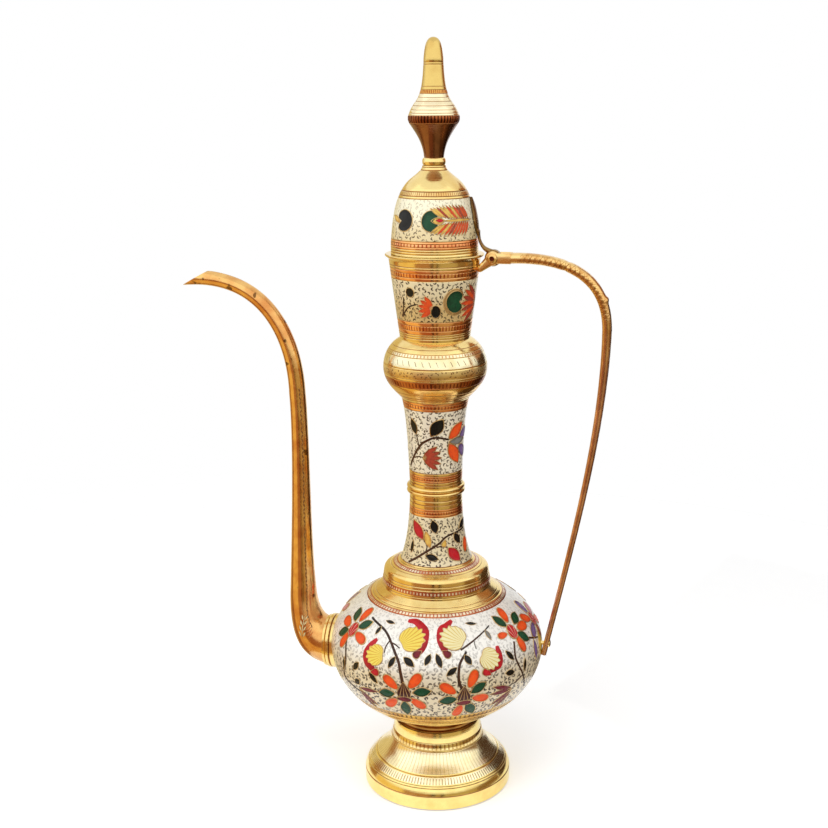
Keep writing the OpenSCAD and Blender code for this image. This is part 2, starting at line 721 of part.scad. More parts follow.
// The fork's side outline: its round end, the lug below it and the bar behind it
module fork_outline() {
    lug_way = [hinge_x - lug_x, hinge_z - lug_z] / norm([hinge_x - lug_x, hinge_z - lug_z]);
    side = [-lug_way[1], lug_way[0]];
    pin_at = [hinge_x, hinge_z];
    lug_at = [lug_x, lug_z];
    translate(pin_at) circle(r = cheek_r);
    translate(lug_at) circle(r = lug_r);
    polygon([lug_at + lug_r * side, pin_at + cheek_r * side,
             pin_at - cheek_r * side, lug_at - lug_r * side]);
    translate([hinge_x, hinge_z - handle_top_t / 2]) square([fork_end_x - hinge_x, handle_top_t]);
}

// Room for the strap's eye and arm between the cheeks
module fork_slot() {
    clear_r = eye_r + 3 * eye_gap;
    rod_y(hinge_x, hinge_z, clear_r, slot_w);
    translate([hinge_x - clear_r, -slot_w / 2, hinge_z])
        cube([clear_r + slot_back, slot_w, handle_top_t + cheek_r]);
    translate([hinge_x, -slot_w / 2, hinge_z - handle_top_t - cheek_r])
        cube([slot_back, slot_w, 2 * (handle_top_t + cheek_r)]);
}

module handle() color(brass) difference() {
    union() {
        plate_y(fork_w) fork_outline();
        handle_bar();
    }
    fork_slot();
    rod_y(hinge_x, hinge_z, pin_r + fit, fork_w + over);
    turned([[0, cup_z], [cup_base_r, cup_z], [cup_top_r, rim_z], [0, rim_z]]);
    belly_form();
    rivet_hole();
}

module handle_rivet() color(brass) {
    rod_x(rivet_in_x - rivet_head_t / 2, rivet_out_x + rivet_head_t / 2, rivet_z, rivet_r);
    rod_x(rivet_in_x - rivet_head_t, rivet_in_x, rivet_z, rivet_head_r);
    rod_x(rivet_out_x, rivet_out_x + rivet_head_t, rivet_z, rivet_head_r);
}

module hinge_pin() color(dark_brass) {
    rod_y(hinge_x, hinge_z, pin_r, fork_w + 2 * fit);
    for (side = [-1, 1]) translate([hinge_x, side * (fork_w / 2 + fit), hinge_z])
        rotate([-side * 90, 0, 0])
            cylinder(h = pin_head_t, r1 = pin_head_r, r2 = pin_head_r * pin_head_taper);
}

// Lid

module lid_dome() {
    inner = between(inset(lid_line, lid_wall), lid_wall_z + lid_wall / 2, nut_z - lid_wall);
    color(pale_enamel) turned(concat(
        [[lid_bore_r, lid_z], [lid_r, lid_z]], lid_line,
        [for (i = [1:steps]) lid_hollow[i]],
        [[stud_hole_r, lid_top_z], [stud_hole_r, nut_z], [nut_af, nut_z]],
        back(inner), [[lid_bore_r, lid_wall_z]]));
}

module lid_bezel() {
    bezel_r = mouth_r - bezel_gap;
    color(brass) turned([
        [bezel_r - bezel_wall, lid_z - bezel_drop], [bezel_r, lid_z - bezel_drop], [bezel_r, lid_z],
        [lid_bore_r - fit, lid_z], [lid_bore_r - fit, lid_wall_z - fit],
        [bezel_r - bezel_wall, lid_wall_z - fit]]);
}

// The pointed leaf's outline in Y and height
module leaf_outline() {
    low = lid_z + leaf_foot_h;
    half = leaf_w / 2;
    edge = curve([[half, low + leaf_h * leaf_low_share], [half, low + leaf_h * leaf_full_share],
                  [half * leaf_point_w, low + leaf_h * leaf_point_share], [0, low + leaf_h]], leaf_steps);
    polygon(concat([[-eye_w / 2, low], [eye_w / 2, low]], edge,
                   [for (i = [leaf_steps - 1:-1:0]) [-edge[i][0], edge[i][1]]]));
}

// The arm's side outline, from the leaf to the eye
module arm_outline() {
    root_x = lid_at(lid_z + leaf_foot_h + arm_root_h / 2) + leaf_t / 2;
    low = lid_z + leaf_foot_h;
    polygon([[root_x, low], [root_x, low + arm_root_h],
             [hinge_x + eye_r * sin(arm_top_turn), hinge_z + eye_r * cos(arm_top_turn)],
             [hinge_x, hinge_z],
             [hinge_x - eye_r * cos(arm_low_turn), hinge_z + eye_r * sin(arm_low_turn)]]);
    translate([hinge_x, hinge_z]) circle(r = eye_r);
}

module lid_strap() color(dark_brass) difference() {
    union() {
        intersection() {
            turned(concat(lid_line, back([for (q = lid_line) q + [leaf_t, 0]])));
            rotate([90, 0, 90]) linear_extrude(lid_r + leaf_t + over) leaf_outline();
        }
        plate_y(eye_w) arm_outline();
    }
    rod_y(hinge_x, hinge_z, pin_r + pin_gap, eye_w + over);
}

// Finial

module finial_collar() {
    bulge = max(lid_crown_r, stem_r);
    color(brass) turned([
        [stud_hole_r, lid_top_z], [lid_crown_r, lid_top_z],
        [bulge, lid_top_z + finial_collar_h / 2], [stem_r, finial_z], [stud_hole_r, finial_z]]);
}

module finial() color(brass) turned(concat(
    [[0, nut_z - nut_h - stud_end], [stud_r, nut_z - nut_h - stud_end], [stud_r, finial_z]],
    finial_line));

module finial_nut() color(dark_brass) translate([0, 0, nut_z - nut_h]) difference() {
    cylinder(h = nut_h, r = nut_af / sqrt(3), $fn = 6);
    translate([0, 0, -over]) cylinder(h = nut_h + 2 * over, r = stud_hole_r);
}

foot_shell();
foot_ring();
belly_lower_bowl();
belly_upper_bowl();
shoulder_collar();
lower_neck();
neck_ring();
upper_neck();
neck_bulb();
mouth_cup();
mouth_rim();
spout_flange();
spout_bead();
spout_tube();
handle();
handle_rivet();
hinge_pin();
lid_dome();
lid_bezel();
lid_strap();
finial_collar();
finial();
finial_nut();
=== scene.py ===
"""Dresses the surahi: turned and chased brass, enamel work, spout, handle and hinged lid."""

import logging
import math
from collections.abc import Callable
from dataclasses import dataclass, replace
from enum import Enum
from functools import lru_cache

import bpy
import numpy as np
from mathutils import Matrix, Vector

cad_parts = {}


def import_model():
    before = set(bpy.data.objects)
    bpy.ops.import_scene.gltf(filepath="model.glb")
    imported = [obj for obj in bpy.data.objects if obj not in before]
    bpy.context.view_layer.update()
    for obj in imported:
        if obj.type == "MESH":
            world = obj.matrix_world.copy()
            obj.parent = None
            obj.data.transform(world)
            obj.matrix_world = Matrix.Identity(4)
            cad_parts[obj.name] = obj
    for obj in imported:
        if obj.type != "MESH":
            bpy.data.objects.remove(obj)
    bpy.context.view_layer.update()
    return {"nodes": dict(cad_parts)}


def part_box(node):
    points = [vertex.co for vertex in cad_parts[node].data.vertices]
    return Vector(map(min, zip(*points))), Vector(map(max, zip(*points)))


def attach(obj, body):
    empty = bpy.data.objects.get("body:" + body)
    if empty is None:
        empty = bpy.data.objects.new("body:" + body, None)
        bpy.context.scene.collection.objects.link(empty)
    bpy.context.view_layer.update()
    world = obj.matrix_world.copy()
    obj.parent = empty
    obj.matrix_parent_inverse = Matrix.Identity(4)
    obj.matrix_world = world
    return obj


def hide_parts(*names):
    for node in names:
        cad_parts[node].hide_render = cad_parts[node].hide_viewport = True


LOG = logging.getLogger("surahi")

Array = np.ndarray
Material = bpy.types.Material
Mesh = bpy.types.Mesh
Piece = bpy.types.Object
Point = tuple[float, float]
Socket = bpy.types.NodeSocket
Value = Socket | float | tuple | str

# Millimetres to metres
MM = 0.001
# World angle of the side that faces the viewer, from which motifs count their turn
FRONT_TURN = -77.0
# Points closer than this become one
MERGE = 0.000004
# Height of the finishes' grain, in metres
GRAIN = 0.0002
SMOOTH_ANGLE = math.radians(38)


# Curves and outlines


def cubic(first: Point, second: Point, third: Point, last: Point, steps: int = 24) -> Array:
    """Points of a cubic curve.

    Args:
        first, second, third, last: its control points.
        steps: number of stretches.
    Returns:
        The points, both ends included.
    """
    t = np.linspace(0.0, 1.0, steps + 1)[:, None]
    u = 1.0 - t
    return (u ** 3 * np.array(first) + 3 * u ** 2 * t * np.array(second)
            + 3 * u * t ** 2 * np.array(third) + t ** 3 * np.array(last))


def bent(start: Point, end: Point, low: Point, high: Point, steps: int = 24) -> Array:
    """Points of a curve between two ends, whose handles lie at shares of the way across and up."""
    way = np.array(end) - np.array(start)
    return cubic(start, start + way * low, start + way * high, end, steps)


def flowing(points: list[Point] | tuple[Point, ...], steps: int = 8) -> Array:
    """A smooth line through points.

    Args:
        points: the points it passes, two or more.
        steps: number of stretches between two points.
    Returns:
        The line's points.
    """
    stops = np.array(points, float)
    ways = np.gradient(stops, axis=0)
    runs = [cubic(a, a + v / 3, b - w / 3, b, steps)[:-1]
            for a, b, v, w in zip(stops, stops[1:], ways, ways[1:])]
    return np.vstack(runs + [stops[-1:]])


def ways_of(line: Array) -> Array:
    """Unit directions along a line of points."""
    ways = np.gradient(line, axis=0)
    return ways / np.linalg.norm(ways, axis=1)[:, None]


def lengths_of(line: Array) -> Array:
    """Lengths along a line of points, from nought at its first point."""
    gaps = np.linalg.norm(np.diff(line, axis=0), axis=1)
    return np.concatenate(([0.0], np.cumsum(gaps)))


def half_round(reach: float, bulge: float, middle: float, half: float, steps: int) -> Array:
    """A half-round edge, by the radius of its ends, its bulge, its middle, half its height and its points."""
    turn = np.linspace(-math.pi / 2, math.pi / 2, steps)
    return np.column_stack((reach + bulge * np.cos(turn), middle + half * np.sin(turn)))


@dataclass(frozen=True)
class Line:
    """A turned line: a groove, or a raised bead where its depth is below nought."""

    height: float
    width: float = 0.9
    depth: float = 0.3


@dataclass(frozen=True)
class TickRow:
    """A row of chased ticks round a turned piece."""

    low: float
    high: float
    count: int
    depth: float = 0.25
    share: float = 0.45
    slant: float = 0.0

    def depth_at(self, turn: Array, height: Array) -> Array:
        """Depth of the ticks at places of the surface.

        Args:
            turn: world angles in degrees.
            height: heights in millimetres.
        Returns:
            The depth at each place.
        """
        phase = turn * self.count / 360 + self.slant * (height - self.low)
        away = np.abs(phase - np.rint(phase))
        across = np.clip(2 - away * 4 / self.share, 0, 1)
        inside = (height > self.low) & (height < self.high)
        return self.depth * across * inside


class Outline:
    """The outer line of a turned piece, from its foot to its top, in millimetres."""

    def __init__(self, *runs: Array | list[Point]) -> None:
        """Strings runs of points together, without doubles."""
        points = np.vstack([np.asarray(run, float) for run in runs])
        self.points = points[np.concatenate(([True], np.diff(lengths_of(points)) > 0.01))]
        self.lengths = lengths_of(self.points)

    def radius(self, length: Array | float) -> Array:
        """Radius at a length along the line."""
        return np.interp(length, self.lengths, self.points[:, 0])

    def height(self, length: Array | float) -> Array:
        """Height at a length along the line."""
        return np.interp(length, self.lengths, self.points[:, 1])

    def length_at(self, height: Array | float) -> Array:
        """Length along the line at a height."""
        return np.interp(height, self.points[:, 1], self.lengths)

    def normal(self, length: Array | float) -> tuple[Array, Array]:
        """Outward direction, as its radial and its upward share, at a length along the line."""
        reach = 0.5
        out = self.height(np.add(length, reach)) - self.height(np.subtract(length, reach))
        up = self.radius(np.subtract(length, reach)) - self.radius(np.add(length, reach))
        size = np.hypot(out, up)
        return out / size, up / size

    def place(self, turn: Array, length: Array, lift: Array | float) -> Array:
        """World points on the turned surface.

        Args:
            turn: degrees from the front, to the right.
            length: length along the line.
            lift: height above the surface.
        Returns:
            The points, in metres.
        """
        angle = np.radians(np.asarray(turn) + FRONT_TURN)
        out, up = self.normal(length)
        reach = self.radius(length) + out * lift
        flat = (reach * np.cos(angle), reach * np.sin(angle), self.height(length) + up * lift)
        return np.column_stack(flat) * MM

    def cut(self, lines: tuple[Line, ...]) -> Array:
        """The line with its turned grooves and beads.

        Args:
            lines: the grooves and beads.
        Returns:
            Its points.
        """
        shares = np.array((-0.5, -0.3, -0.1, 0.1, 0.3, 0.5))
        stops = [self.lengths] + [self.length_at(line.height) + shares * line.width for line in lines]
        stops = np.unique(np.round(np.clip(np.concatenate(stops), 0, self.lengths[-1]), 2))
        stops = stops[np.concatenate(([True], np.diff(stops) > 0.05))]
        depth = np.zeros(len(stops))
        for line in lines:
            away = np.abs(stops - self.length_at(line.height)) / (line.width / 2)
            depth += np.where(away < 1, line.depth * (1 + np.cos(np.pi * np.minimum(away, 1))) / 2, 0)
        out, up = self.normal(stops)
        return np.column_stack((self.radius(stops) - depth * out, self.height(stops) - depth * up))

    def inset(self, wall: float, pitch: float = 3.0) -> Array:
        """The inner face of a wall behind the line.

        Args:
            wall: the wall's thickness.
            pitch: distance between its points.
        Returns:
            Its points, from the foot to the top.
        """
        stops = np.linspace(0, self.lengths[-1], max(4, int(self.lengths[-1] / pitch)))
        out, up = self.normal(stops)
        low, high = self.points[0, 1], self.points[-1, 1]
        rise = np.clip(self.height(stops) - wall * up, low, high)
        return np.column_stack((np.maximum(self.radius(stops) - wall * out, 0.0), rise))


# Mesh work


def low_of(node: str) -> float:
    """Height of a node's lowest point, in millimetres."""
    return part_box(node)[0].z / MM


def top_of(node: str) -> float:
    """Height of a node's highest point, in millimetres."""
    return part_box(node)[1].z / MM


def reach_of(node: str) -> float:
    """How far a node reaches to the side, in millimetres."""
    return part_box(node)[1].y / MM


def select_only(piece: Piece) -> None:
    """Makes a piece the only selected one and the active one."""
    bpy.ops.object.select_all(action="DESELECT")
    piece.select_set(True)
    bpy.context.view_layer.objects.active = piece


def points_of(mesh: Mesh) -> Array:
    """A mesh's points, in metres."""
    flat = np.empty(len(mesh.vertices) * 3)
    mesh.vertices.foreach_get("co", flat)
    return flat.reshape(-1, 3)


def set_points(mesh: Mesh, points: Array) -> None:
    """Moves a mesh's points, in metres."""
    mesh.vertices.foreach_set("co", np.ascontiguousarray(points, float).ravel())
    mesh.update()


def tidy_shell(fill: bool = False) -> None:
    """Merges the doubles of the piece in edit mode, closes it and turns its faces outwards.

    Args:
        fill: whether open ends are closed.
    """
    bpy.ops.mesh.select_all(action="SELECT")
    bpy.ops.mesh.remove_doubles(threshold=MERGE)
    bpy.ops.mesh.select_all(action="SELECT")
    bpy.ops.mesh.delete_loose()
    if fill:
        bpy.ops.mesh.select_all(action="SELECT")
        bpy.ops.mesh.fill_holes(sides=0)
    bpy.ops.mesh.select_all(action="SELECT")
    bpy.ops.mesh.normals_make_consistent(inside=False)
    bpy.ops.object.mode_set(mode="OBJECT")


def smoothed(piece: Piece) -> Piece:
    """Shades a piece smooth, with its sharp edges kept, and returns it."""
    select_only(piece)
    bpy.ops.object.shade_smooth_by_angle(angle=SMOOTH_ANGLE)
    return piece


def corner_points(mesh: Mesh) -> Array:
    """The point at each face corner, in metres."""
    corners = np.empty(len(mesh.loops), int)
    mesh.loops.foreach_get("vertex_index", corners)
    return points_of(mesh)[corners]


def face_middles(mesh: Mesh) -> Array:
    """The middles of a mesh's faces, in millimetres."""
    flat = np.empty(len(mesh.polygons) * 3)
    mesh.polygons.foreach_get("center", flat)
    return flat.reshape(-1, 3) / MM


def set_chart(layer: bpy.types.MeshUVLoopLayer, chart: Array) -> None:
    """Writes the two coordinates of a map at each face corner."""
    layer.data.foreach_set("uv", np.ascontiguousarray(chart).ravel())


def started(name: str, primitive: Callable[..., set], **sizes: object) -> Piece:
    """Adds a primitive to start a piece from, with nothing else selected.

    Args:
        name: the piece's name.
        primitive, sizes: the operator that adds it, and its settings.
    Returns:
        The piece.
    """
    bpy.ops.object.select_all(action="DESELECT")
    primitive(**sizes)
    piece = bpy.context.object
    piece.name = piece.data.name = name
    return piece


def spun(name: str, section: Array, steps: int) -> Piece:
    """Spins a closed section round the vessel's axis.

    Args:
        name: the piece's name.
        section: radius and height of the section's points, in millimetres.
        steps: number of stretches round the axis.
    Returns:
        The closed piece.
    """
    piece = started(name, bpy.ops.mesh.primitive_circle_add, vertices=len(section), fill_type="NOTHING")
    set_points(piece.data, np.column_stack((section[:, 0], 0 * section[:, 0], section[:, 1])) * MM)
    bpy.ops.object.mode_set(mode="EDIT")
    bpy.ops.mesh.select_all(action="SELECT")
    bpy.ops.mesh.spin(steps=steps, angle=math.tau, center=(0, 0, 0), axis=(0, 0, 1))
    tidy_shell()
    return piece


def lofted(name: str, rings: Array, looped: bool = False) -> Piece:
    """Rolls a grid into a tube through rings of points.

    Args:
        name: the piece's name.
        rings: points as rings, sides and coordinates, in millimetres.
        looped: whether the last ring meets the first; otherwise both ends are closed.
    Returns:
        The closed piece.
    """
    count, sides = rings.shape[:2]
    rows = count if looped else count - 1
    piece = started(name, bpy.ops.mesh.primitive_grid_add, x_subdivisions=sides, y_subdivisions=rows)
    grid = points_of(piece.data)
    column = np.rint((grid[:, 0] + 1) / 2 * sides).astype(int) % sides
    row = np.rint((grid[:, 1] + 1) / 2 * rows).astype(int) % count
    set_points(piece.data, rings[row, column] * MM)
    bpy.ops.object.mode_set(mode="EDIT")
    tidy_shell(fill=not looped)
    return piece


def laid(piece: Piece, axis: str, angle: float, at: tuple[float, float, float]) -> Piece:
    """Turns a piece's mesh about an axis, moves it to a place in millimetres and returns it."""
    turn = Matrix.Rotation(math.radians(angle), 4, axis)
    piece.data.transform(Matrix.Translation([size * MM for size in at]) @ turn)
    return piece


def joined(name: str, pieces: list[Piece]) -> Piece:
    """Joins pieces into one, under one name, and returns it."""
    select_only(pieces[0])
    for piece in pieces:
        piece.select_set(True)
    if len(pieces) > 1:
        bpy.ops.object.join()
    whole = bpy.context.object
    whole.name = whole.data.name = name
    return whole


def coated(piece: Piece, finish: "Finish") -> Piece:
    """Gives a piece one finish all over, and returns it."""
    piece.data.materials.clear()
    piece.data.materials.append(made(finish))
    return piece


def mount(piece: Piece, body: str, slot: str, *nodes: str) -> None:
    """Hangs a piece on its body.

    Args:
        piece: the finished piece.
        body: the body it rides on.
        slot: the record's material slot; not used.
        nodes: the nodes that it stands for.
    """
    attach(piece, body)
    if nodes:
        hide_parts(*nodes)
    LOG.info("%s: %d faces on %s", piece.name, len(piece.data.polygons), body)


# Finishes


def colour(code: str) -> tuple[float, float, float, float]:
    """Turns a colour as a screen shows it, such as #E8C25A, into linear light."""
    shown = [int(code[start:start + 2], 16) / 255 for start in (1, 3, 5)]
    light = [c / 12.92 if c <= 0.04045 else ((c + 0.055) / 1.055) ** 2.4 for c in shown]
    return (*light, 1.0)


@lru_cache(maxsize=None)
def made(finish: "Finish") -> Material:
    """The material of a finish, made once."""
    return finish.material()


class Nodes:
    """A node tree in the making, with short ways to add and join its nodes."""

    def __init__(self, tree: bpy.types.NodeTree) -> None:
        """Takes the tree."""
        self.tree = tree

    def feed(self, socket: Socket, value: Value) -> None:
        """Sets a socket to a number, a vector or a colour's code, or links it to another socket."""
        if isinstance(value, Socket):
            self.tree.links.new(value, socket)
        else:
            socket.default_value = colour(value) if isinstance(value, str) else value

    def node(self, kind: str, *values: Value, **settings: object) -> bpy.types.Node:
        """Adds a node.

        Args:
            kind: the node's type.
            values: what its inputs take, in their order.
            settings: its own settings.
        Returns:
            The node.
        """
        node = self.tree.nodes.new(kind)
        for name, value in settings.items():
            setattr(node, name, value)
        for socket, value in zip(node.inputs, values):
            self.feed(socket, value)
        return node

    def feed_named(self, node: bpy.types.Node, **values: Value) -> Socket:
        """Feeds a node's inputs by their names, and returns its first output."""
        for name, value in values.items():
            self.feed(node.inputs[name], value)
        return node.outputs[0]

    def math(self, operation: str, *values: Value) -> Socket:
        """Works out one number from others."""
        return self.node("ShaderNodeMath", *values, operation=operation).outputs[0]

    def squares(self, first: Value, second: Value) -> Socket:
        """The sum of two numbers' squares."""
        return self.math("ADD", self.math("MULTIPLY", first, first), self.math("MULTIPLY", second, second))

    def vector(self, operation: str, *values: Value) -> Socket:
        """Works out one vector from others."""
        return self.node("ShaderNodeVectorMath", *values, operation=operation).outputs[0]

    def axes(self, vector: Value) -> bpy.types.NodeOutputs:
        """The three coordinates of a vector."""
        return self.node("ShaderNodeSeparateXYZ", vector).outputs

    def blend(self, share: Value, first: Value, second: Value) -> Socket:
        """Mixes two colours by a share of the second."""
        node = self.node("ShaderNodeMix", data_type="RGBA")
        for index, value in ((0, share), (6, first), (7, second)):
            self.feed(node.inputs[index], value)
        return node.outputs[2]

    def ramp(self, value: Value, low: float, high: float, first: float = 0.0, last: float = 1.0) -> Socket:
        """Maps a range smoothly onto another."""
        node = self.node("ShaderNodeMapRange", value, low, high, first, last, interpolation_type="SMOOTHSTEP")
        return node.outputs[0]

    def place(self) -> Socket:
        """Place on the object, in metres."""
        return self.node("ShaderNodeTexCoord").outputs["Object"]

    def rise(self, low: float, high: float) -> Socket:
        """How far a place lies between two heights, given in millimetres, from nought to one."""
        return self.ramp(self.axes(self.place())[2], low * MM, high * MM)

    def noise(self, scale: float, detail: float = 2.0, place: Value | None = None) -> Socket:
        """Cloudy noise, between nought and one, on the object's own places unless others are given."""
        spot = self.place() if place is None else place
        return self.feed_named(self.node("ShaderNodeTexNoise"), Vector=spot, Scale=scale, Detail=detail)

    def seen(self) -> Socket:
        """One where the camera, a mirror or glass looks, and nought for light."""
        path = self.node("ShaderNodeLightPath").outputs
        shown = self.math("MAXIMUM", path["Is Camera Ray"], path["Is Glossy Ray"])
        return self.math("MAXIMUM", shown, path["Is Transmission Ray"])


class Shader(Nodes):
    """A material in the making."""

    def __init__(self, name: str) -> None:
        """Starts a material under a name."""
        self.material = bpy.data.materials.new(name)
        self.material.use_nodes = True
        super().__init__(self.material.node_tree)
        self.surface = self.tree.nodes["Principled BSDF"]

    def set(self, **values: Value) -> None:
        """Sets the surface's sockets by their names in lower case, with _ for a space."""
        for name, value in values.items():
            title = name.replace("_", " ").title().replace("Ior", "IOR")
            self.feed(self.surface.inputs[title], value)

    def chart(self, name: str) -> tuple[Socket, Socket]:
        """The two coordinates of one of the piece's own maps."""
        parts = self.axes(self.node("ShaderNodeUVMap", uv_map=name).outputs[0])
        return parts[0], parts[1]

    def mottle(self, fine: Socket, share: float, scale: float) -> Socket:
        """Fine noise mixed with wider clouds, of which it takes a share."""
        cloud = self.noise(scale, 4.0)
        return self.math("MULTIPLY_ADD", fine, share, self.math("MULTIPLY", cloud, 1 - share))

    def turned_lines(self, fine: float = 2400.0, coarse: float = 30.0) -> Socket:
        """Fine lines of the lathe, round the axis, or a plain grain where both scales are the same."""
        return self.noise(1.0, place=self.vector("MULTIPLY", self.place(), (coarse, coarse, fine)))

    def relief(self, height: Value, strength: float) -> None:
        """Raises and lowers the surface by a height between nought and one."""
        bump = self.node("ShaderNodeBump")
        normal = self.feed_named(bump, Strength=strength, Distance=GRAIN, Height=height)
        self.feed(self.surface.inputs["Normal"], normal)

    def ticks(self, row: TickRow) -> Socket:
        """Where a row's ticks are: one in a tick, nought between."""
        turn, _ = self.chart("turn")
        height = self.axes(self.place())[2]
        slant = self.math("MULTIPLY_ADD", height, row.slant / MM, -row.slant * row.low)
        away = self.math("PINGPONG", self.math("MULTIPLY_ADD", turn, row.count / 360, slant), 0.5)
        half = (row.high - row.low) / 2 * MM
        gap = self.math("ABSOLUTE", self.math("SUBTRACT", height, row.low * MM + half))
        inside = self.ramp(gap, half - 0.2 * MM, half, 1.0, 0.0)
        return self.math("MULTIPLY", inside, self.ramp(away, row.share * 0.35, row.share * 0.6, 1.0, 0.0))


@dataclass(frozen=True)
class Brass:
    """Brass with tarnish clouds and the lathe's or the file's fine lines."""

    name: str
    bright: str
    dull: str
    roughness: float = 0.16
    tarnish: float = 0.5
    lines: float = 0.12
    turned: bool = True
    waves: float = 1.6
    specks: float = 0.0
    speck: str = "#4A2C14"

    def material(self) -> Material:
        """Makes the finish's material."""
        shader = Shader(self.name)
        fine = shader.noise(150.0, 3.0)
        share = shader.ramp(shader.mottle(fine, 0.35, 24.0), 0.42, 0.66, 0.0, self.tarnish)
        turned = shader.turned_lines() if self.turned else shader.turned_lines(500.0, 500.0)
        tone = shader.blend(share, self.bright, self.dull)
        if self.specks:
            spots = shader.ramp(shader.noise(170.0, 1.0), 0.69, 0.74, 0.0, self.specks)
            tone = shader.blend(spots, tone, self.speck)
        shader.set(base_color=tone, metallic=1.0,
                   roughness=shader.ramp(turned, 0.25, 0.75, self.roughness * 0.75, self.roughness * 1.4))
        shader.relief(shader.math("MULTIPLY_ADD", fine, self.waves, turned), self.lines)
        return shader.material


@dataclass(frozen=True)
class HeightToneBrass:
    """Cast brass, brighter above and rosy brown below, blended by height."""

    name: str
    bright: str
    dull: str
    rosy: str
    dark: str
    low: float
    high: float
    roughness: float = 0.2

    def material(self) -> Material:
        """Makes the finish's material."""
        shader = Shader(self.name)
        fine = shader.noise(220.0, 3.0)
        stain = shader.ramp(shader.mottle(fine, 0.4, 46.0), 0.42, 0.6)
        upper = shader.blend(stain, self.bright, self.dull)
        lower = shader.blend(stain, self.rosy, self.dark)
        shader.set(base_color=shader.blend(shader.rise(self.low, self.high), lower, upper), metallic=1.0,
                   roughness=shader.ramp(fine, 0.3, 0.7, self.roughness * 0.75, self.roughness * 1.4))
        shader.relief(fine, 0.12)
        return shader.material


@dataclass(frozen=True)
class TickedBrass:
    """Brass or red lacquer on brass, with a row of chased ticks."""

    name: str
    bright: str
    dull: str
    tick: str
    row: TickRow
    roughness: float = 0.24
    metallic: float = 1.0

    def material(self) -> Material:
        """Makes the finish's material."""
        shader = Shader(self.name)
        ground = shader.blend(shader.ramp(shader.noise(70.0, 3.0), 0.35, 0.7), self.bright, self.dull)
        wear = shader.ramp(shader.noise(260.0), 0.3, 0.55, 0.45, 1.0)
        worn = shader.math("MULTIPLY", shader.ticks(self.row), wear)
        turned = shader.turned_lines()
        shader.set(base_color=shader.blend(worn, ground, self.tick), metallic=self.metallic,
                   roughness=shader.ramp(turned, 0.25, 0.75, self.roughness * 0.8, self.roughness * 1.3))
        shader.relief(turned, 0.12)
        return shader.material


@dataclass(frozen=True)
class ChasedGround:
    """Pale ground between the motifs, chased all over with small curled strokes, painted paler and with fainter
    strokes towards its top as a highlight, and deeper below as a warm reflection.
    """

    name: str
    radius: float
    # The ground runs from deep at the height low to pale at the height high: a painted warm reflection below
    # and a painted highlight above
    pale: str
    deep: str
    mark: str
    low: float
    high: float
    # Share of the strokes' strength left at the top, where the painted highlight fades them
    highlight_mark_share: float = 1.0
    cell: float = 2.7
    metallic: float = 0.14
    half: float = 0.2
    bold: float = 0.15
    curl: float = 1.6

    def stroke(self, shader: Shader) -> tuple[Socket, Socket]:
        """Where the strokes are, one curled stroke in each cell of a scattered pattern.

        Args:
            shader: the material in the making.
        Returns:
            One in a stroke and nought between, and how strong each stroke is.
        """
        turn, along = shader.chart("turn")
        arc = math.radians(1) * self.radius
        spot = shader.node("ShaderNodeCombineXYZ", shader.math("MULTIPLY", turn, arc / self.cell),
                           shader.math("MULTIPLY", along, 1 / self.cell)).outputs[0]
        cells = shader.node("ShaderNodeTexVoronoi", voronoi_dimensions="2D", feature="F1")
        shader.feed_named(cells, Vector=spot, Scale=1.0, Randomness=0.85)
        local = shader.vector("SUBTRACT", spot, cells.outputs["Position"])
        chance = shader.node("ShaderNodeSeparateColor", cells.outputs["Color"]).outputs
        swing = shader.node("ShaderNodeVectorRotate", rotation_type="Z_AXIS")
        turned = shader.feed_named(swing, Vector=local, Angle=shader.math("MULTIPLY", chance[0], math.tau))
        across, up, _ = shader.axes(turned)
        bent_up = shader.math("MULTIPLY_ADD", shader.math("MULTIPLY", across, across), self.curl, up)
        reach = shader.math("SUBTRACT", shader.math("ABSOLUTE", across), self.half)
        away = shader.math("SQRT", shader.squares(shader.math("MAXIMUM", reach, 0.0), bent_up))
        comma = shader.math("MULTIPLY_ADD", across, 0.12, away)
        stroke = shader.ramp(comma, self.bold * 0.8, self.bold * 1.5, 1.0, 0.0)
        return stroke, shader.ramp(chance[1], 0.05, 0.5, 0.55, 1.0)

    def material(self) -> Material:
        """Makes the finish's material."""
        shader = Shader(self.name)
        stroke, strength = self.stroke(shader)
        ink = shader.math("MULTIPLY", stroke, strength)
        # Painted highlight and reflection: the ground pales and the strokes fade with height
        rise = shader.rise(self.low, self.high)
        highlight_fade = shader.math("MULTIPLY_ADD", rise, self.highlight_mark_share - 1.0, 1.0)
        tone = shader.math("MULTIPLY_ADD", shader.noise(120.0, 3.0), -0.5, rise)
        ground = shader.blend(shader.ramp(tone, -0.3, 0.7), self.deep, self.pale)
        inked = shader.blend(shader.math("MULTIPLY", ink, highlight_fade), ground, self.mark)
        shader.set(base_color=inked, metallic=self.metallic, roughness=0.28, coat_weight=0.4,
                   coat_roughness=0.1)
        shader.relief(shader.math("SUBTRACT", 1.0, stroke), 0.35)
        return shader.material


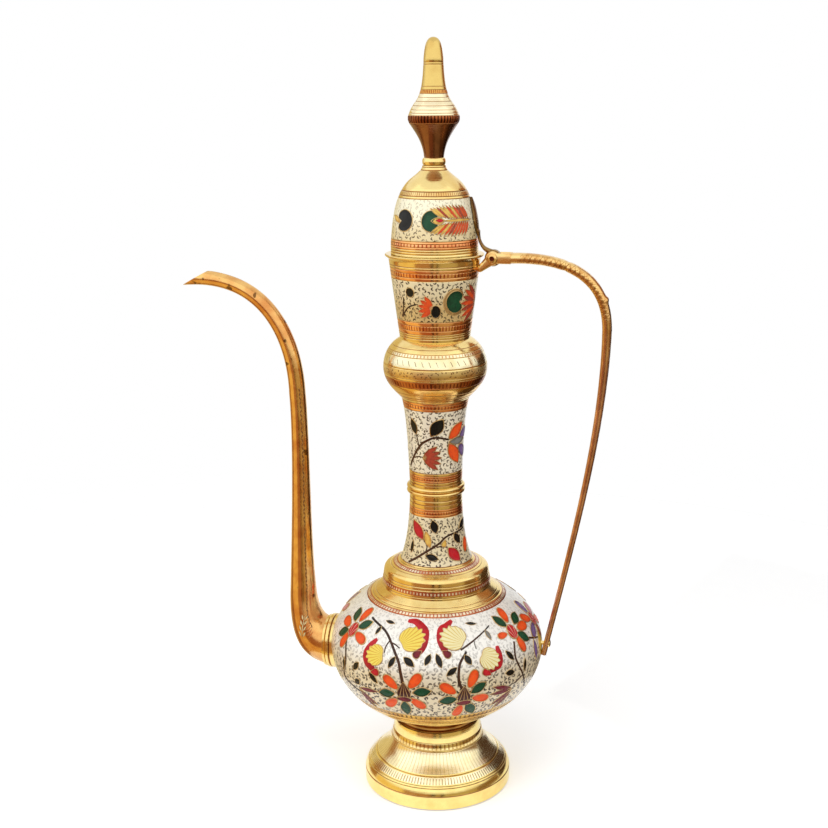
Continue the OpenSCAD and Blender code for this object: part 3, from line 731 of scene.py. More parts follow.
@dataclass(frozen=True)
class Enamel:
    """Glossy fired enamel, deeper in colour towards its rim, or with rays of its deeper colour."""

    name: str
    bright: str
    deep: str
    rays: int = 0
    ray: float = 0.2

    def material(self) -> Material:
        """Makes the finish's material."""
        shader = Shader(self.name)
        along, across = shader.chart("flat")
        cloud = shader.noise(420.0, 3.0)
        if self.rays:
            swing = shader.math("ARCTAN2", across, shader.math("ADD", along, 1.0))
            ray = shader.math("PINGPONG", shader.math("MULTIPLY", swing, float(self.rays)), 0.5)
            share = shader.ramp(ray, self.ray * 0.5, self.ray, 0.9, 0.0)
        else:
            edge = shader.math("MULTIPLY", shader.squares(along, across), 0.45)
            share = shader.ramp(shader.math("MULTIPLY_ADD", cloud, 0.9, edge), 0.35, 1.0)
        shader.set(base_color=shader.blend(share, self.bright, self.deep), specular_ior_level=0.25,
                   roughness=shader.ramp(cloud, 0.3, 0.7, 0.22, 0.36), coat_weight=0.06, coat_roughness=0.08)
        shader.relief(cloud, 0.15)
        return shader.material


Finish = Brass | HeightToneBrass | TickedBrass | ChasedGround | Enamel
POLISHED = Brass("polished_brass", "#F6DC94", "#DAA850", roughness=0.17)
CAST = Brass("cast_brass", "#F0C278", "#C6763A", roughness=0.18, tarnish=0.75, lines=0.06, turned=False,
             specks=0.8)
HANDLE = HeightToneBrass("handle_brass", "#F4D08A", "#D6A25C", "#EAB896", "#C69274", 250.0, 318.0)
SPIRE = Brass("spire_brass", "#DCBE70", "#BC8C46", roughness=0.18)
# Pale brass above the finial's flare, a painted highlight
SPIRE_PAINTED_HIGHLIGHT = Brass("spire_highlight_brass", "#FAECC4", "#EAD49C", roughness=0.18)
STRAP = Brass("strap_brass", "#A9854C", "#543A20", roughness=0.24, tarnish=0.9, turned=False)
DARK = Brass("dark_brass", "#B08040", "#4A2C12", roughness=0.26, tarnish=0.9)
INSIDE = Brass("inner_brass", "#CBA35C", "#7A5426", roughness=0.4, tarnish=0.8)
# Dark brass under the finial's flare, a painted shade
FLARE_UNDER_SHADE = Brass("flare_under_shade_brass", "#966648", "#523826", roughness=0.2, tarnish=0.8)
FOOT_GOLD = Brass("foot_brass", "#FBE596", "#E6BE66", roughness=0.16)
# Warmer, more orange brass for the bulb's lower part, a painted reflection
BULB_UNDER_REFLECTION = Brass("bulb_under_reflection_brass", "#EFC470", "#CC8C3C", roughness=0.15)
ENGRAVED = Brass("engraved_brass", "#BE8648", "#946032", roughness=0.3, tarnish=0.9, turned=False)
GROOVE = Brass("groove_brass", "#B8804A", "#80482A", roughness=0.3, tarnish=0.9)
WIRE = Brass("cell_wire", "#D8BC86", "#A07C4A", roughness=0.35, tarnish=0.8, turned=False)
PIN_EYE = Brass("pin_eye_brass", "#7A3420", "#4A1C12", roughness=0.3, tarnish=0.8, turned=False)


class Tint(Enum):
    """Colours of the enamel: bright, deep and, where it has them, its rays and their width."""

    ORANGE = ("#F95C1E", "#D43E10")
    GREEN = ("#164C2E", "#0A2C1A")
    RED = ("#C81E28", "#960F1A")
    MAROON = ("#7A1A26", "#460A14")
    BLACK = ("#14130F", "#080706")
    YELLOW = ("#F5DC60", "#DDA632", 5)
    CREAM = ("#F6EAB4", "#E2C468", 5)
    TUFT = ("#46201A", "#D0A468", 3, 0.11)
    BALL = ("#C41E24", "#F2CDB0", 2, 0.09)
    TAN = ("#C9A46A", "#9A7240")
    FLAME = ("#E2521E", "#B03216")
    RUST = ("#B0442C", "#742418")
    GOLD = ("#EBC25E", "#BE7C30")
    VIOLET = ("#84689A", "#54406C")
    PINK = ("#D98A96", "#B04A5C")
    BROWN = ("#4E2E1C", "#24140C")
    GREY = ("#8C8880", "#5C5850")
    PALE = ("#E2CF9C", "#C0A468")
    COPPER = ("#D8742C", "#A84E1C")
    UMBER = ("#84501F", "#5E340F")

    def finish(self) -> Enamel:
        """The colour as a finish."""
        return Enamel(f"{self.name.lower()}_enamel", *self.value)


# Sizes of motifs by their colour
Tinted = dict[Tint, tuple[tuple[float, ...], ...]]


# Enamel cells


class Form(Enum):
    """Outlines of the enamel cells."""

    PETAL = "petal"
    LEAF = "leaf"
    DROP = "drop"
    DISC = "disc"
    HEART = "heart"
    KIDNEY = "kidney"
    FAN = "fan"
    STROKE = "stroke"

    def sides(self) -> int:
        """Number of points round the outline."""
        return {Form.STROKE: 12, Form.DISC: 16, Form.FAN: 66, Form.HEART: 36, Form.KIDNEY: 32}.get(self, 22)

    def outline(self, angle: Array) -> tuple[Array, Array]:
        """Points of the outline, within one unit of the middle.

        Args:
            angle: directions from the middle, in radians.
        Returns:
            Coordinates along and across the cell.
        """
        along, across = np.cos(angle), np.sin(angle)
        if self is Form.PETAL:
            return along, across * (1 + 0.22 * along) / 1.05
        if self in (Form.LEAF, Form.STROKE):
            return along, across * np.abs(across)
        if self is Form.DROP:
            return along, across * ((1 + along) / 2) ** 0.55 * 1.25
        reach = 1.0
        if self is Form.HEART:
            reach = 1 - 0.62 * dip(angle, 0.0, 0.42)
        if self is Form.KIDNEY:
            reach = 1 - 0.7 * dip(angle, math.pi, 0.36)
        if self is Form.FAN:
            teeth = np.abs(angle * 11 / math.tau % 1 - 0.5) * 2
            front = np.clip(1.4 - np.abs(angle_from(angle, 0.0)) / 1.3, 0, 1)
            reach = 0.95 - 0.28 * teeth * front - 0.2 * dip(angle, math.pi, 0.5)
        return along * reach, across * reach


def dip(angle: Array, middle: float, width: float) -> Array:
    """A smooth bump of one at a direction, by its width in radians."""
    return np.exp(-(angle_from(angle, middle) / width) ** 2)


def angle_from(angle: Array, middle: float) -> Array:
    """Angles measured from a middle direction, within half a turn each way."""
    return (angle - middle + math.pi) % math.tau - math.pi


@dataclass(frozen=True)
class Cell:
    """One enamel cell on a turned surface: its turn from the front, height, direction and size."""

    form: Form
    tint: Tint
    turn: float
    height: float
    angle: float
    length: float
    width: float
    rise: float = 0.32
    lift: float = 0.0


@dataclass(frozen=True)
class Stem:
    """A thin curved line on a turned surface, through turns and heights."""

    route: tuple[Point, ...]
    width: float = 1.4
    tint: Tint = Tint.BROWN
    rise: float = 0.25
    pointed: bool = False


# Cells wider than this have a narrower wire; the fill's share of a wide and of a narrow cell
WIDE_CELL = 8.0
WIDE_FILL = 0.94
NARROW_FILL = 0.89


@lru_cache(maxsize=None)
def flat_cell(form: Form, fill: float) -> Mesh:
    """Models a cell flat, once: a wire rim round a low domed fill.

    Args:
        form: the cell's outline.
        fill: the fill's share of the outline, inside the wire.
    Returns:
        The mesh, one unit from its middle to its ends, with the wire in its first slot.
    """
    piece = started("cell", bpy.ops.mesh.primitive_circle_add, vertices=form.sides(), fill_type="NGON")
    ring = points_of(piece.data)
    along, across = form.outline(np.arctan2(ring[:, 1], ring[:, 0]))
    set_points(piece.data, np.column_stack((along, across, np.full(len(ring), -1.0))))
    bpy.ops.object.material_slot_add()
    bpy.ops.object.material_slot_add()
    bpy.ops.object.mode_set(mode="EDIT")
    bpy.ops.mesh.select_all(action="SELECT")
    step, dome = 0.96, 0.6
    for lift, share in ((2.0, 1.0), (0.0, fill), (-0.35, step), (0.45, dome)):
        bpy.ops.mesh.extrude_region_move(TRANSFORM_OT_translate={"value": (0, 0, lift)})
        bpy.ops.transform.resize(value=(share, share, 1), center_override=(0, 0, 0))
    bpy.ops.mesh.poke(offset=0.12)
    tidy_shell()
    mesh = piece.data
    for face in mesh.polygons:
        face.material_index = int(face.center.z > 0.1 and abs(face.center.z - 1) > 0.01)
    mesh.uv_layers[0].name = "flat"
    set_chart(mesh.uv_layers[0], corner_points(mesh)[:, :2])
    mesh.polygons.foreach_set("use_smooth", np.ones(len(mesh.polygons), bool))
    bpy.data.objects.remove(piece)
    return mesh


class EnamelWork:
    """Cells and stems that are laid on one turned surface or on the spout."""

    def __init__(self, skin: "Outline | SpoutSkin") -> None:
        """Starts with a bare surface."""
        self.skin = skin
        self.pieces: list[Piece] = []

    def lay(self, cell: Cell) -> None:
        """Lays one cell on the surface.

        Args:
            cell: the cell, whose flat model is copied and bent to the surface.
        """
        wide = min(cell.length, cell.width) > WIDE_CELL
        mesh = flat_cell(cell.form, WIDE_FILL if wide else NARROW_FILL).copy()
        flat = points_of(mesh)
        along = flat[:, 0] * cell.length / 2
        across = flat[:, 1] * cell.width / 2
        angle = math.radians(cell.angle)
        right = along * math.cos(angle) - across * math.sin(angle)
        up = along * math.sin(angle) + across * math.cos(angle)
        middle = self.skin.length_at(cell.height)
        turn = cell.turn + np.degrees(right / self.skin.radius(middle))
        set_points(mesh, self.skin.place(turn, middle + up, cell.lift + flat[:, 2] * cell.rise))
        mesh.materials[0] = made(WIRE)
        mesh.materials[1] = made(cell.tint.finish())
        piece = bpy.data.objects.new("cell", mesh)
        bpy.context.collection.objects.link(piece)
        self.pieces.append(piece)

    def draw(self, stem: Stem) -> None:
        """Draws one stem on the surface, as a low rounded strip.

        Args:
            stem: the stem.
        """
        stops = np.array(stem.route)
        scale = math.radians(1) * self.skin.radius(self.skin.length_at(stops[:, 1].mean()))
        line = flowing(np.column_stack((stops[:, 0] * scale, self.skin.length_at(stops[:, 1]))))
        ways = ways_of(line)
        taper = np.linspace(1.0, 0.7, len(line))[:, None]
        if stem.pointed:
            taper = np.sin(np.linspace(0.1, math.pi - 0.1, len(line)))[:, None] ** 0.4
        across = np.array((-0.5, -0.35, 0.0, 0.35, 0.5, 0.0)) * stem.width * taper
        lift = np.array((-0.8, 0.6, 1.0, 0.6, -0.8, -1.0)) * stem.rise
        right = line[:, :1] - ways[:, 1:] * across
        up = line[:, 1:] + ways[:, :1] * across
        points = self.skin.place((right / scale).ravel(), up.ravel(), np.tile(lift, len(line)))
        piece = coated(lofted("stem", points.reshape(len(line), len(lift), 3) / MM), stem.tint.finish())
        piece.data.uv_layers[0].name = "flat"
        self.pieces.append(smoothed(piece))

    def repeat(self, stems: tuple[Stem, ...], cells: tuple[Cell, ...] | list[Cell],
               bare: Callable[[Cell], bool] | None = None) -> None:
        """Draws stems and lays cells on the front and, turned half round, on the back.

        Args:
            stems, cells: the motifs of the front.
            bare: tells of a cell in its place whether it is left out.
        """
        for turn in (0.0, 180.0):
            for stem in stems:
                self.draw(replace(stem, route=tuple((at + turn, height) for at, height in stem.route)))
            for cell in cells:
                own = replace(cell, turn=cell.turn + turn)
                if bare is None or not bare(own):
                    self.lay(own)

    def mount(self, name: str, body: str, slot: str = "enamelled_brass") -> None:
        """Joins all that was laid into one piece and hangs it on a body."""
        mount(joined(name, self.pieces), body, slot)


# Turned pieces


@dataclass(frozen=True)
class Zone:
    """A band of a turned piece between two heights, with its own finish."""

    low: float
    high: float
    finish: Finish


@dataclass
class Turned:
    """A spun shell: an outer line with turned lines and ticks, and a plain inner wall."""

    name: str
    outline: Outline
    wall: float
    finish: Finish = POLISHED
    lines: tuple[Line, ...] = ()
    ticks: tuple[TickRow, ...] = ()
    zones: tuple[Zone, ...] = ()
    steps: int = 144
    inner: Array | None = None

    def build(self) -> Piece:
        """Spins, chases, maps and dresses the shell.

        Returns:
            The finished piece.
        """
        inner = self.outline.inset(self.wall) if self.inner is None else self.inner
        piece = spun(self.name, np.vstack((self.outline.cut(self.lines), inner[::-1])), self.steps)
        self.chase(piece.data)
        self.chart(piece.data)
        self.dress(piece.data)
        return smoothed(piece)

    def is_outer(self, reach: Array, height: Array) -> Array:
        """Whether places lie on the outer face rather than on the wall's inside."""
        return reach > self.outline.radius(self.outline.length_at(height)) - self.wall / 2

    def chase(self, mesh: Mesh) -> None:
        """Sinks the tick rows into the outer face."""
        points = points_of(mesh) / MM
        reach = np.hypot(points[:, 0], points[:, 1])
        turn = np.degrees(np.arctan2(points[:, 1], points[:, 0])) % 360
        depth = np.zeros(len(points))
        for row in self.ticks:
            depth += row.depth_at(turn, points[:, 2])
        depth *= self.is_outer(reach, points[:, 2])
        out, up = self.outline.normal(self.outline.length_at(points[:, 2]))
        share = 1 - depth * out / np.maximum(reach, 0.01)
        moved = np.column_stack((points[:, 0] * share, points[:, 1] * share, points[:, 2] - depth * up))
        set_points(mesh, moved * MM)

    def chart(self, mesh: Mesh) -> None:
        """Maps the shell by its turn in degrees and its length in millimetres."""
        places = corner_points(mesh) / MM
        turn = np.degrees(np.arctan2(places[:, 1], places[:, 0])) % 360
        starts = np.empty(len(mesh.polygons), int)
        totals = np.empty(len(mesh.polygons), int)
        mesh.polygons.foreach_get("loop_start", starts)
        mesh.polygons.foreach_get("loop_total", totals)
        widest = np.repeat(np.maximum.reduceat(turn, starts), totals)
        turn = np.where(widest - turn > 180, turn + 360, turn)
        length = self.outline.length_at(places[:, 2])
        set_chart(mesh.uv_layers.new(name="turn"), np.column_stack((turn, length)))

    def dress(self, mesh: Mesh) -> None:
        """Gives each band of the shell its finish."""
        for finish in (self.finish, INSIDE, GROOVE, *(zone.finish for zone in self.zones)):
            mesh.materials.append(made(finish))
        middle = face_middles(mesh)
        outer = self.is_outer(np.hypot(middle[:, 0], middle[:, 1]), middle[:, 2])
        index = np.where(outer, 0, 1)
        for number, zone in enumerate(self.zones, 3):
            index[outer & (middle[:, 2] > zone.low) & (middle[:, 2] < zone.high)] = number
        length = self.outline.length_at(middle[:, 2])
        for line in self.lines:
            index[outer & (np.abs(length - self.outline.length_at(line.height)) < line.width * 0.36)] = 2
        mesh.polygons.foreach_set("material_index", index.astype(np.int32))


def grooves(heights: tuple[float, ...], width: float, depth: float) -> tuple[Line, ...]:
    """Turned grooves of one width and depth at several heights."""
    return tuple(Line(height, width, depth) for height in heights)


def ticked_zone(name: str, tones: tuple[str, str], tick: str, row: TickRow, roughness: float = 0.24,
                metallic: float = 1.0, rim: float = 0.0) -> Zone:
    """A zone of ticked brass along a row of ticks, and a rim past it."""
    return Zone(row.low - rim, row.high + rim, TickedBrass(name, *tones, tick, row, roughness, metallic))


@dataclass(frozen=True)
class RedBand:
    """A band of red lacquer with a row of ticks along its middle, between turned lines."""

    name: str
    low: float
    high: float
    count: int = 72
    rest: float = 0.3

    def row(self) -> TickRow:
        """The band's ticks."""
        rest = (self.high - self.low) * self.rest
        return TickRow(self.low + rest, self.high - rest, self.count, 0.1, 0.4)

    def zone(self) -> Zone:
        """The band's zone."""
        finish = TickedBrass(self.name, "#FCC284", "#E69458", "#B4522C", self.row(), 0.14)
        return Zone(self.low, self.high, finish)

    def lines(self) -> tuple[Line, ...]:
        """The turned lines along the band's and the ticks' edges."""
        return grooves((self.low, self.row().low, self.row().high, self.high), 0.6, 0.16)


@dataclass
class EnamelledTube:
    """A turned tube with red bands, and enamel on a chased ground between them."""

    name: str
    node: str
    outline: Outline
    wall: float
    bands: tuple[RedBand, ...]
    ground: Zone
    lines: tuple[Line, ...]
    stems: tuple[Stem, ...]
    cells: tuple[Cell, ...]
    steps: int = 240
    body: str = "vessel"
    ticks: tuple[TickRow, ...] = ()
    zones: tuple[Zone, ...] = ()
    inner: Array | None = None

    def build(self) -> None:
        """Builds the tube and lays the enamel on its front and back."""
        lines = [line for band in self.bands for line in band.lines()]
        rows = [band.row() for band in self.bands]
        zones = [band.zone() for band in self.bands]
        shell = Turned(self.name, self.outline, self.wall, POLISHED, (*lines, *self.lines),
                       (*rows, *self.ticks), (*zones, self.ground, *self.zones), self.steps, self.inner)
        mount(shell.build(), self.body, "enamelled_brass", self.node)
        work = EnamelWork(self.outline)
        work.repeat(self.stems, self.cells)
        work.mount(self.name + "_enamel", self.body)


@dataclass
class Foot:
    """The flared foot with its ticks and flutes, and the dark ring that carries the belly."""

    rim_h: float = 8.5
    dome_h: float = 21.5
    waist_r: float = 28.8
    collar_r: float = 26.6
    swell: float = 9.5
    swell_shares: Point = (0.15, 0.8)
    edge: float = 0.6
    wall: float = 1.8
    seat_wall: float = 6.0
    seat_groove: float = 1.3
    seat_shares: Point = (0.55, 2.3)
    ticks: TickRow = TickRow(14.8, 17.8, 138, 0.06, 0.36)
    flutes: TickRow = TickRow(19.2, 29.2, 92, 0.025, 0.26)
    dashes: TickRow = TickRow(30.8, 34.4, 69, 0.06, 0.36)
    lines: tuple[Line, ...] = (Line(8.6, 0.9, 0.4), Line(13.1, 0.6, 0.2), *grooves((14.2, 18.7), 0.5, 0.1),
                               Line(29.6, 0.6, 0.2), *grooves((30.5, 34.8), 0.5, 0.15))

    def outline(self) -> Outline:
        """The foot's outer line."""
        reach = reach_of("foot_shell")
        top = self.rim_h + self.dome_h
        draw = self.waist_r - reach
        low, high = (reach + share * draw for share in self.swell_shares)
        slope = cubic((reach, self.rim_h), (low, self.rim_h + self.swell), (high, top - self.swell),
                      (self.waist_r, top), 30)
        return Outline([(reach - self.edge, 0), (reach, self.edge)], slope,
                       [(self.collar_r, top_of("foot_shell"))])

    def build(self) -> None:
        """Builds the foot and its ring."""
        rows = (self.ticks, self.flutes, self.dashes)
        # The tick and flute bands are pale brass: partly the brass's own tone, partly a painted highlight on
        # the slope
        pale = ("#FFF3CE", "#F8E6B4")
        zones = (ticked_zone("foot_ticks", pale, "#B89A62", self.ticks, 0.2),
                 ticked_zone("foot_flutes", pale, "#EAD6A0", self.flutes, 0.2),
                 ticked_zone("foot_dashes", ("#F8E6A6", "#E4C274"), "#BC9252", self.dashes, 0.16))
        shell = Turned("foot", self.outline(), self.wall, FOOT_GOLD, self.lines, rows, zones, 552)
        mount(shell.build(), "vessel", "polished_brass", "foot_shell")
        reach = reach_of("foot_ring")
        low, high = top_of("foot_shell"), top_of("foot_ring")
        third = (high - low) / 3
        lines = tuple(Line(low + share * third, third, self.seat_groove) for share in self.seat_shares)
        steps = [(reach, height) for height in np.linspace(low, high, 13)]
        seat = Turned("foot_seat", Outline(steps), self.seat_wall, DARK, lines)
        mount(seat.build(), "vessel", "dark_brass", "foot_ring")


@dataclass
class Belly:
    """The belly's two bowls and their floral enamel."""

    base_r: float = 20.7
    shoulder_r: float = 43.0
    wall: float = 2.0
    ground_low: float = 68.0
    ground_share: float = 0.93
    flange_turn: float = -103.0
    flange_clear: float = 24.0
    flange_top: float = 112.0
    ticks: TickRow = TickRow(64.6, 67.4, 120, 0.2, 0.4)
    lines: tuple[Line, ...] = grooves((50.0, 54.0, 58.5, 62.0, 64.2, 67.8), 0.8, 0.22)
    steps: int = 240

    def quarter(self, reach: float, height: float, end_r: float, side: int) -> Array:
        """A quarter oval from the widest line to an end.

        Args:
            reach: widest radius.
            height: how far the end lies from the widest line.
            end_r: radius at the end.
            side: -1 below the widest line, 1 above it.
        Returns:
            Its points, upwards.
        """
        tall = height / math.sqrt(1 - (end_r / reach) ** 2)
        turn = np.linspace(0, math.asin(height / tall), 40)
        arc = np.column_stack((reach * np.cos(turn), low_of("belly_upper_bowl") + side * tall * np.sin(turn)))
        return arc[::side]

    def build(self) -> None:
        """Builds the bowls and lays the enamel on them."""
        reach = reach_of("belly_upper_bowl")
        low = self.quarter(reach, low_of("belly_upper_bowl") - top_of("foot_ring"), self.base_r, -1)
        high = self.quarter(reach, top_of("belly_upper_bowl") - low_of("belly_upper_bowl"), self.shoulder_r, 1)
        # The belly's ground: painted highlight above, with the strokes faded to about a quarter, and a painted
        # warm reflection below
        ground = ChasedGround("belly_ground", reach * self.ground_share, "#FBF7EE", "#EAD8B4", "#38241A", 84.0,
                              114.0, 0.26, 2.6, half=0.26, bold=0.19)
        low_zones = (ticked_zone("belly_ticks", ("#D9B45C", "#B07E36"), "#5A3414", self.ticks),
                     Zone(self.ground_low, low_of("belly_upper_bowl") + 1, ground))
        high_zones = (Zone(low_of("belly_upper_bowl") - 1, top_of("belly_upper_bowl"), ground),)
        lower = Turned("belly_lower", Outline(low), self.wall, POLISHED, self.lines, (self.ticks,), low_zones,
                       self.steps)
        upper = Turned("belly_upper", Outline(high), self.wall, zones=high_zones, steps=self.steps)
        mount(lower.build(), "vessel", "enamelled_brass", "belly_lower_bowl")
        mount(upper.build(), "vessel", "enamelled_brass", "belly_upper_bowl")
        work = EnamelWork(Outline(low, high))
        stems = (*BELLY_STEMS, *(tulip.hood_strip() for tulip in BELLY_TULIPS))
        cells = [cell for motif in (*BELLY_FLOWERS, *BELLY_TULIPS, *BELLY_SPRIGS) for cell in motif.cells()]
        work.repeat(stems, cells + leaves(BELLY_LEAVES), self.at_flange)
        work.mount("belly_enamel", "vessel")

    def at_flange(self, cell: Cell) -> bool:
        """Whether a cell lies where the spout's flange is."""
        away = abs((cell.turn - self.flange_turn + 180) % 360 - 180)
        return away <= self.flange_clear and cell.height <= self.flange_top


def off(place: Point, angle: float, reach: float, arc: float, slope: float) -> Point:
    """Turn and height of a place off another, by its direction, its reach and the surface's arc and slope."""
    way = math.radians(angle)
    return place[0] + reach * math.cos(way) / arc, place[1] + reach * math.sin(way) * slope


@dataclass(frozen=True)
class Flower:
    """An open flower on the belly: a middle and petals round it.

    A petal has its angle and reach and, where they differ, its length and width.
    """

    turn: float
    height: float
    middle: Tint
    arc: float
    slope: float
    petals: Tinted

    def cells(self) -> list[Cell]:
        """The flower's cells."""
        cells = []
        for tint, petals in self.petals.items():
            form = Form.LEAF if tint is Tint.GREEN else Form.PETAL
            for angle, reach, *size in petals:
                place = off((self.turn, self.height), angle, reach, self.arc, self.slope)
                cells.append(Cell(form, tint, *place, angle, *(size or (12.0, 6.5))))
        if self.middle is Tint.TUFT:
            cells.append(Cell(Form.DROP, Tint.TUFT, self.turn, self.height + 1.6, 270, 12.0, 9.0, lift=0.1))
            cells.append(Cell(Form.PETAL, Tint.MAROON, self.turn, self.height - 4.0, 0, 9.8, 4.0, lift=0.18))
        else:
            cells.append(Cell(Form.DISC, self.middle, self.turn, self.height, 90, 10.0, 8.0, lift=0.12))
        return cells


@dataclass(frozen=True)
class Tulip:
    """A tulip in profile: a scalloped fan inside a curled red hood with a dark foot."""

    turn: float
    height: float
    lean: float
    hood: tuple[Point, ...]
    arc: float
    slope: float
    length: float = 18.5
    width: float = 16.5
    fan: Point = (0.0, 0.0)
    foot: Tint = Tint.MAROON
    filling: Tint = Tint.YELLOW

    def at(self, across: float, up: float) -> Point:
        """Turn and height of a place in the tulip, given in millimetres from its middle."""
        return self.turn + across / self.arc, self.height + up * self.slope

    def cells(self) -> list[Cell]:
        """The tulip's fan and foot."""
        fan, foot = self.at(*self.fan), self.at(*self.hood[-1])
        return [Cell(Form.FAN, self.filling, *fan, self.lean, self.length, self.width, lift=0.2),
                Cell(Form.DROP, self.foot, *foot, self.lean + 180, 6.5, 5.0, lift=0.2)]

    def hood_strip(self) -> Stem:
        """The tulip's hood."""
        return Stem(tuple(self.at(*spot) for spot in self.hood), 6.6, Tint.RED, 0.42, True)


@dataclass(frozen=True)
class Sprig:
    """Strokes that spread from one point."""

    turn: float
    height: float
    angles: tuple[float, ...]
    length: float
    width: float
    tint: Tint
    arc: float

    def cells(self) -> list[Cell]:
        """The sprig's strokes."""
        root = (self.turn, self.height)
        places = [off(root, angle, self.length / 2, self.arc, 1.0) for angle in self.angles]
        return [Cell(Form.STROKE, self.tint, *place, angle, self.length, self.width, 0.25)
                for place, angle in zip(places, self.angles)]


def leaves(sizes: Tinted) -> list[Cell]:
    """Leaves by colour, each with its turn, height, angle, length and width."""
    return [Cell(Form.LEAF, tint, *size) for tint, places in sizes.items() for size in places]


# The belly's motifs on one side, by turn from the front and height

LOW_ARC = 1.14
HIGH_ARC = 1.0
LOW_SLOPE = 0.97
HIGH_SLOPE = 0.72
BELLY_FLOWERS = (
    Flower(-17.3, 85.7, Tint.TUFT, LOW_ARC, LOW_SLOPE, {
        Tint.ORANGE: ((143, 10.0), (52, 11.0), (224, 12.5), (321, 10.5)),
        Tint.GREEN: ((190, 11.2), (10, 11.0), (270, 11.5, 14.0, 7.0))}),
    Flower(13.9, 83.4, Tint.TUFT, LOW_ARC, LOW_SLOPE, {
        Tint.ORANGE: ((146, 11.5), (66, 12.5), (347, 10.8), (255, 11.0)),
        Tint.GREEN: ((30, 10.0), (297, 10.8, 14.0, 7.0), (189, 9.5))}),
    Flower(-59.2, 111.8, Tint.BALL, HIGH_ARC, HIGH_SLOPE, {
        Tint.ORANGE: ((87, 11.0), (345, 9.5), (250, 10.0), (173, 11.0)),
        Tint.GREEN: ((131, 11.0), (40, 9.5), (214, 10.0))}),
    Flower(51.1, 112.5, Tint.BALL, HIGH_ARC, HIGH_SLOPE, {
        Tint.ORANGE: ((75, 11.0), (358, 11.0), (178, 8.5, 8.0, 4.5), (284, 10.0)),
        Tint.GREEN: ((118, 9.5), (29, 12.0), (317, 9.5))}),
    Flower(80.0, 110.0, Tint.BALL, HIGH_ARC, HIGH_SLOPE, {
        Tint.VIOLET: ((90, 10.0), (210, 9.5)), Tint.PINK: ((30, 9.5),),
        Tint.ORANGE: ((330, 9.5), (150, 9.5)), Tint.RUST: ((270, 9.5),)}))
BELLY_TULIPS = (
    Tulip(-16.0, 116.0, 38,
          ((-5.5, 9.0), (0.4, 9.0), (5.3, 6.7), (8.0, 3.8), (8.0, -2.0), (6.9, -6.7), (5.3, -10.0)),
          HIGH_ARC, HIGH_SLOPE, fan=(0.9, -0.6)),
    Tulip(10.9, 116.3, 145, ((0.2, 9.4), (-4.1, 6.7), (-7.4, 4.8), (-8.2, 0.0), (-7.2, -4.8), (-5.7, -10.0)),
          HIGH_ARC, HIGH_SLOPE, fan=(-1.0, 0.0), filling=Tint.CREAM),
    Tulip(-34.6, 105.2, 190, ((-3.2, 8.6), (-6.2, 3.8), (-7.2, -1.0), (-5.4, -5.7), (-2.2, -8.6), (1.0, -11.4)),
          1.1, 0.85, 14.5, 13.5, (-0.9, -0.4), Tint.RED),
    Tulip(28.9, 103.5, -35, ((7.6, 6.5), (7.0, 0.0), (5.5, -4.3), (1.8, -6.0), (-2.8, -8.1)),
          1.1, 0.85, 15.5, 14.0, (0.4, 0.2), Tint.RED, Tint.CREAM))
BELLY_LEAVES = {
    Tint.BLACK: (
        (-34.4, 120.6, -3, 7.0, 2.4), (-39.6, 116.2, 78, 6.5, 2.6), (-24.5, 103.1, 65, 8.5, 3.4),
        (-15.1, 104.5, -35, 9.0, 4.4), (-4.9, 106.2, 65, 8.0, 3.6), (1.0, 105.8, -70, 9.5, 3.8),
        (7.6, 99.8, 35, 8.5, 3.6), (16.7, 105.3, -60, 7.5, 4.0), (24.6, 120.9, -15, 7.0, 2.2),
        (42.3, 102.2, -55, 9.0, 3.4), (40.8, 92.5, -10, 8.0, 4.0), (52.8, 93.0, 85, 9.0, 2.8),
        (-47.0, 95.0, 55, 7.5, 4.0), (-46.5, 85.2, 40, 6.5, 4.2), (-34.8, 91.8, -42, 9.0, 3.6),
        (-57.9, 92.4, 88, 9.0, 2.4)),
    Tint.GREY: ((33.0, 115.0, -80, 7.5, 2.8),), Tint.YELLOW: ((76.0, 96.5, 80, 16.0, 9.5),),
    Tint.VIOLET: ((66.0, 97.0, 85, 13.0, 5.0),)}
BELLY_STEMS = (
    Stem(((-17.5, 91.0), (-19.0, 98.0), (-22.1, 106.1), (-33.4, 116.3), (-51.3, 120.0)), 2.4),
    Stem(((-28.0, 112.5), (-25.0, 112.0), (-21.5, 110.6)), 1.2),
    Stem(((-29.0, 113.0), (-30.2, 110.0), (-29.9, 107.0)), 1.2),
    Stem(((13.2, 88.0), (11.1, 94.0), (12.0, 103.2), (16.6, 109.4)), 2.4),
    Stem(((13.5, 110.4), (25.0, 114.8), (36.9, 118.5)), 1.4),
    Stem(((22.8, 114.0), (22.4, 112.0), (22.6, 110.0)), 1.0, Tint.GREY),
    Stem(((48.6, 108.0), (46.1, 99.2), (51.5, 87.0), (57.0, 76.7)), 1.9),
    Stem(((51.5, 87.0), (46.0, 84.4), (42.0, 84.0)), 1.1),
    Stem(((-60.2, 105.3), (-56.2, 94.8), (-59.1, 83.6), (-50.0, 79.0), (-42.0, 78.4)), 1.9),
    Stem(((56.0, 108.0), (66.0, 104.0), (74.0, 101.0)), 1.8))
BELLY_SPRIGS = (
    Sprig(43.7, 81.0, (160, 178, 212, 232), 17.0, 3.6, Tint.MAROON, LOW_ARC),
    Sprig(-46.0, 81.0, (8, 318, 300), 16.0, 3.2, Tint.MAROON, LOW_ARC))


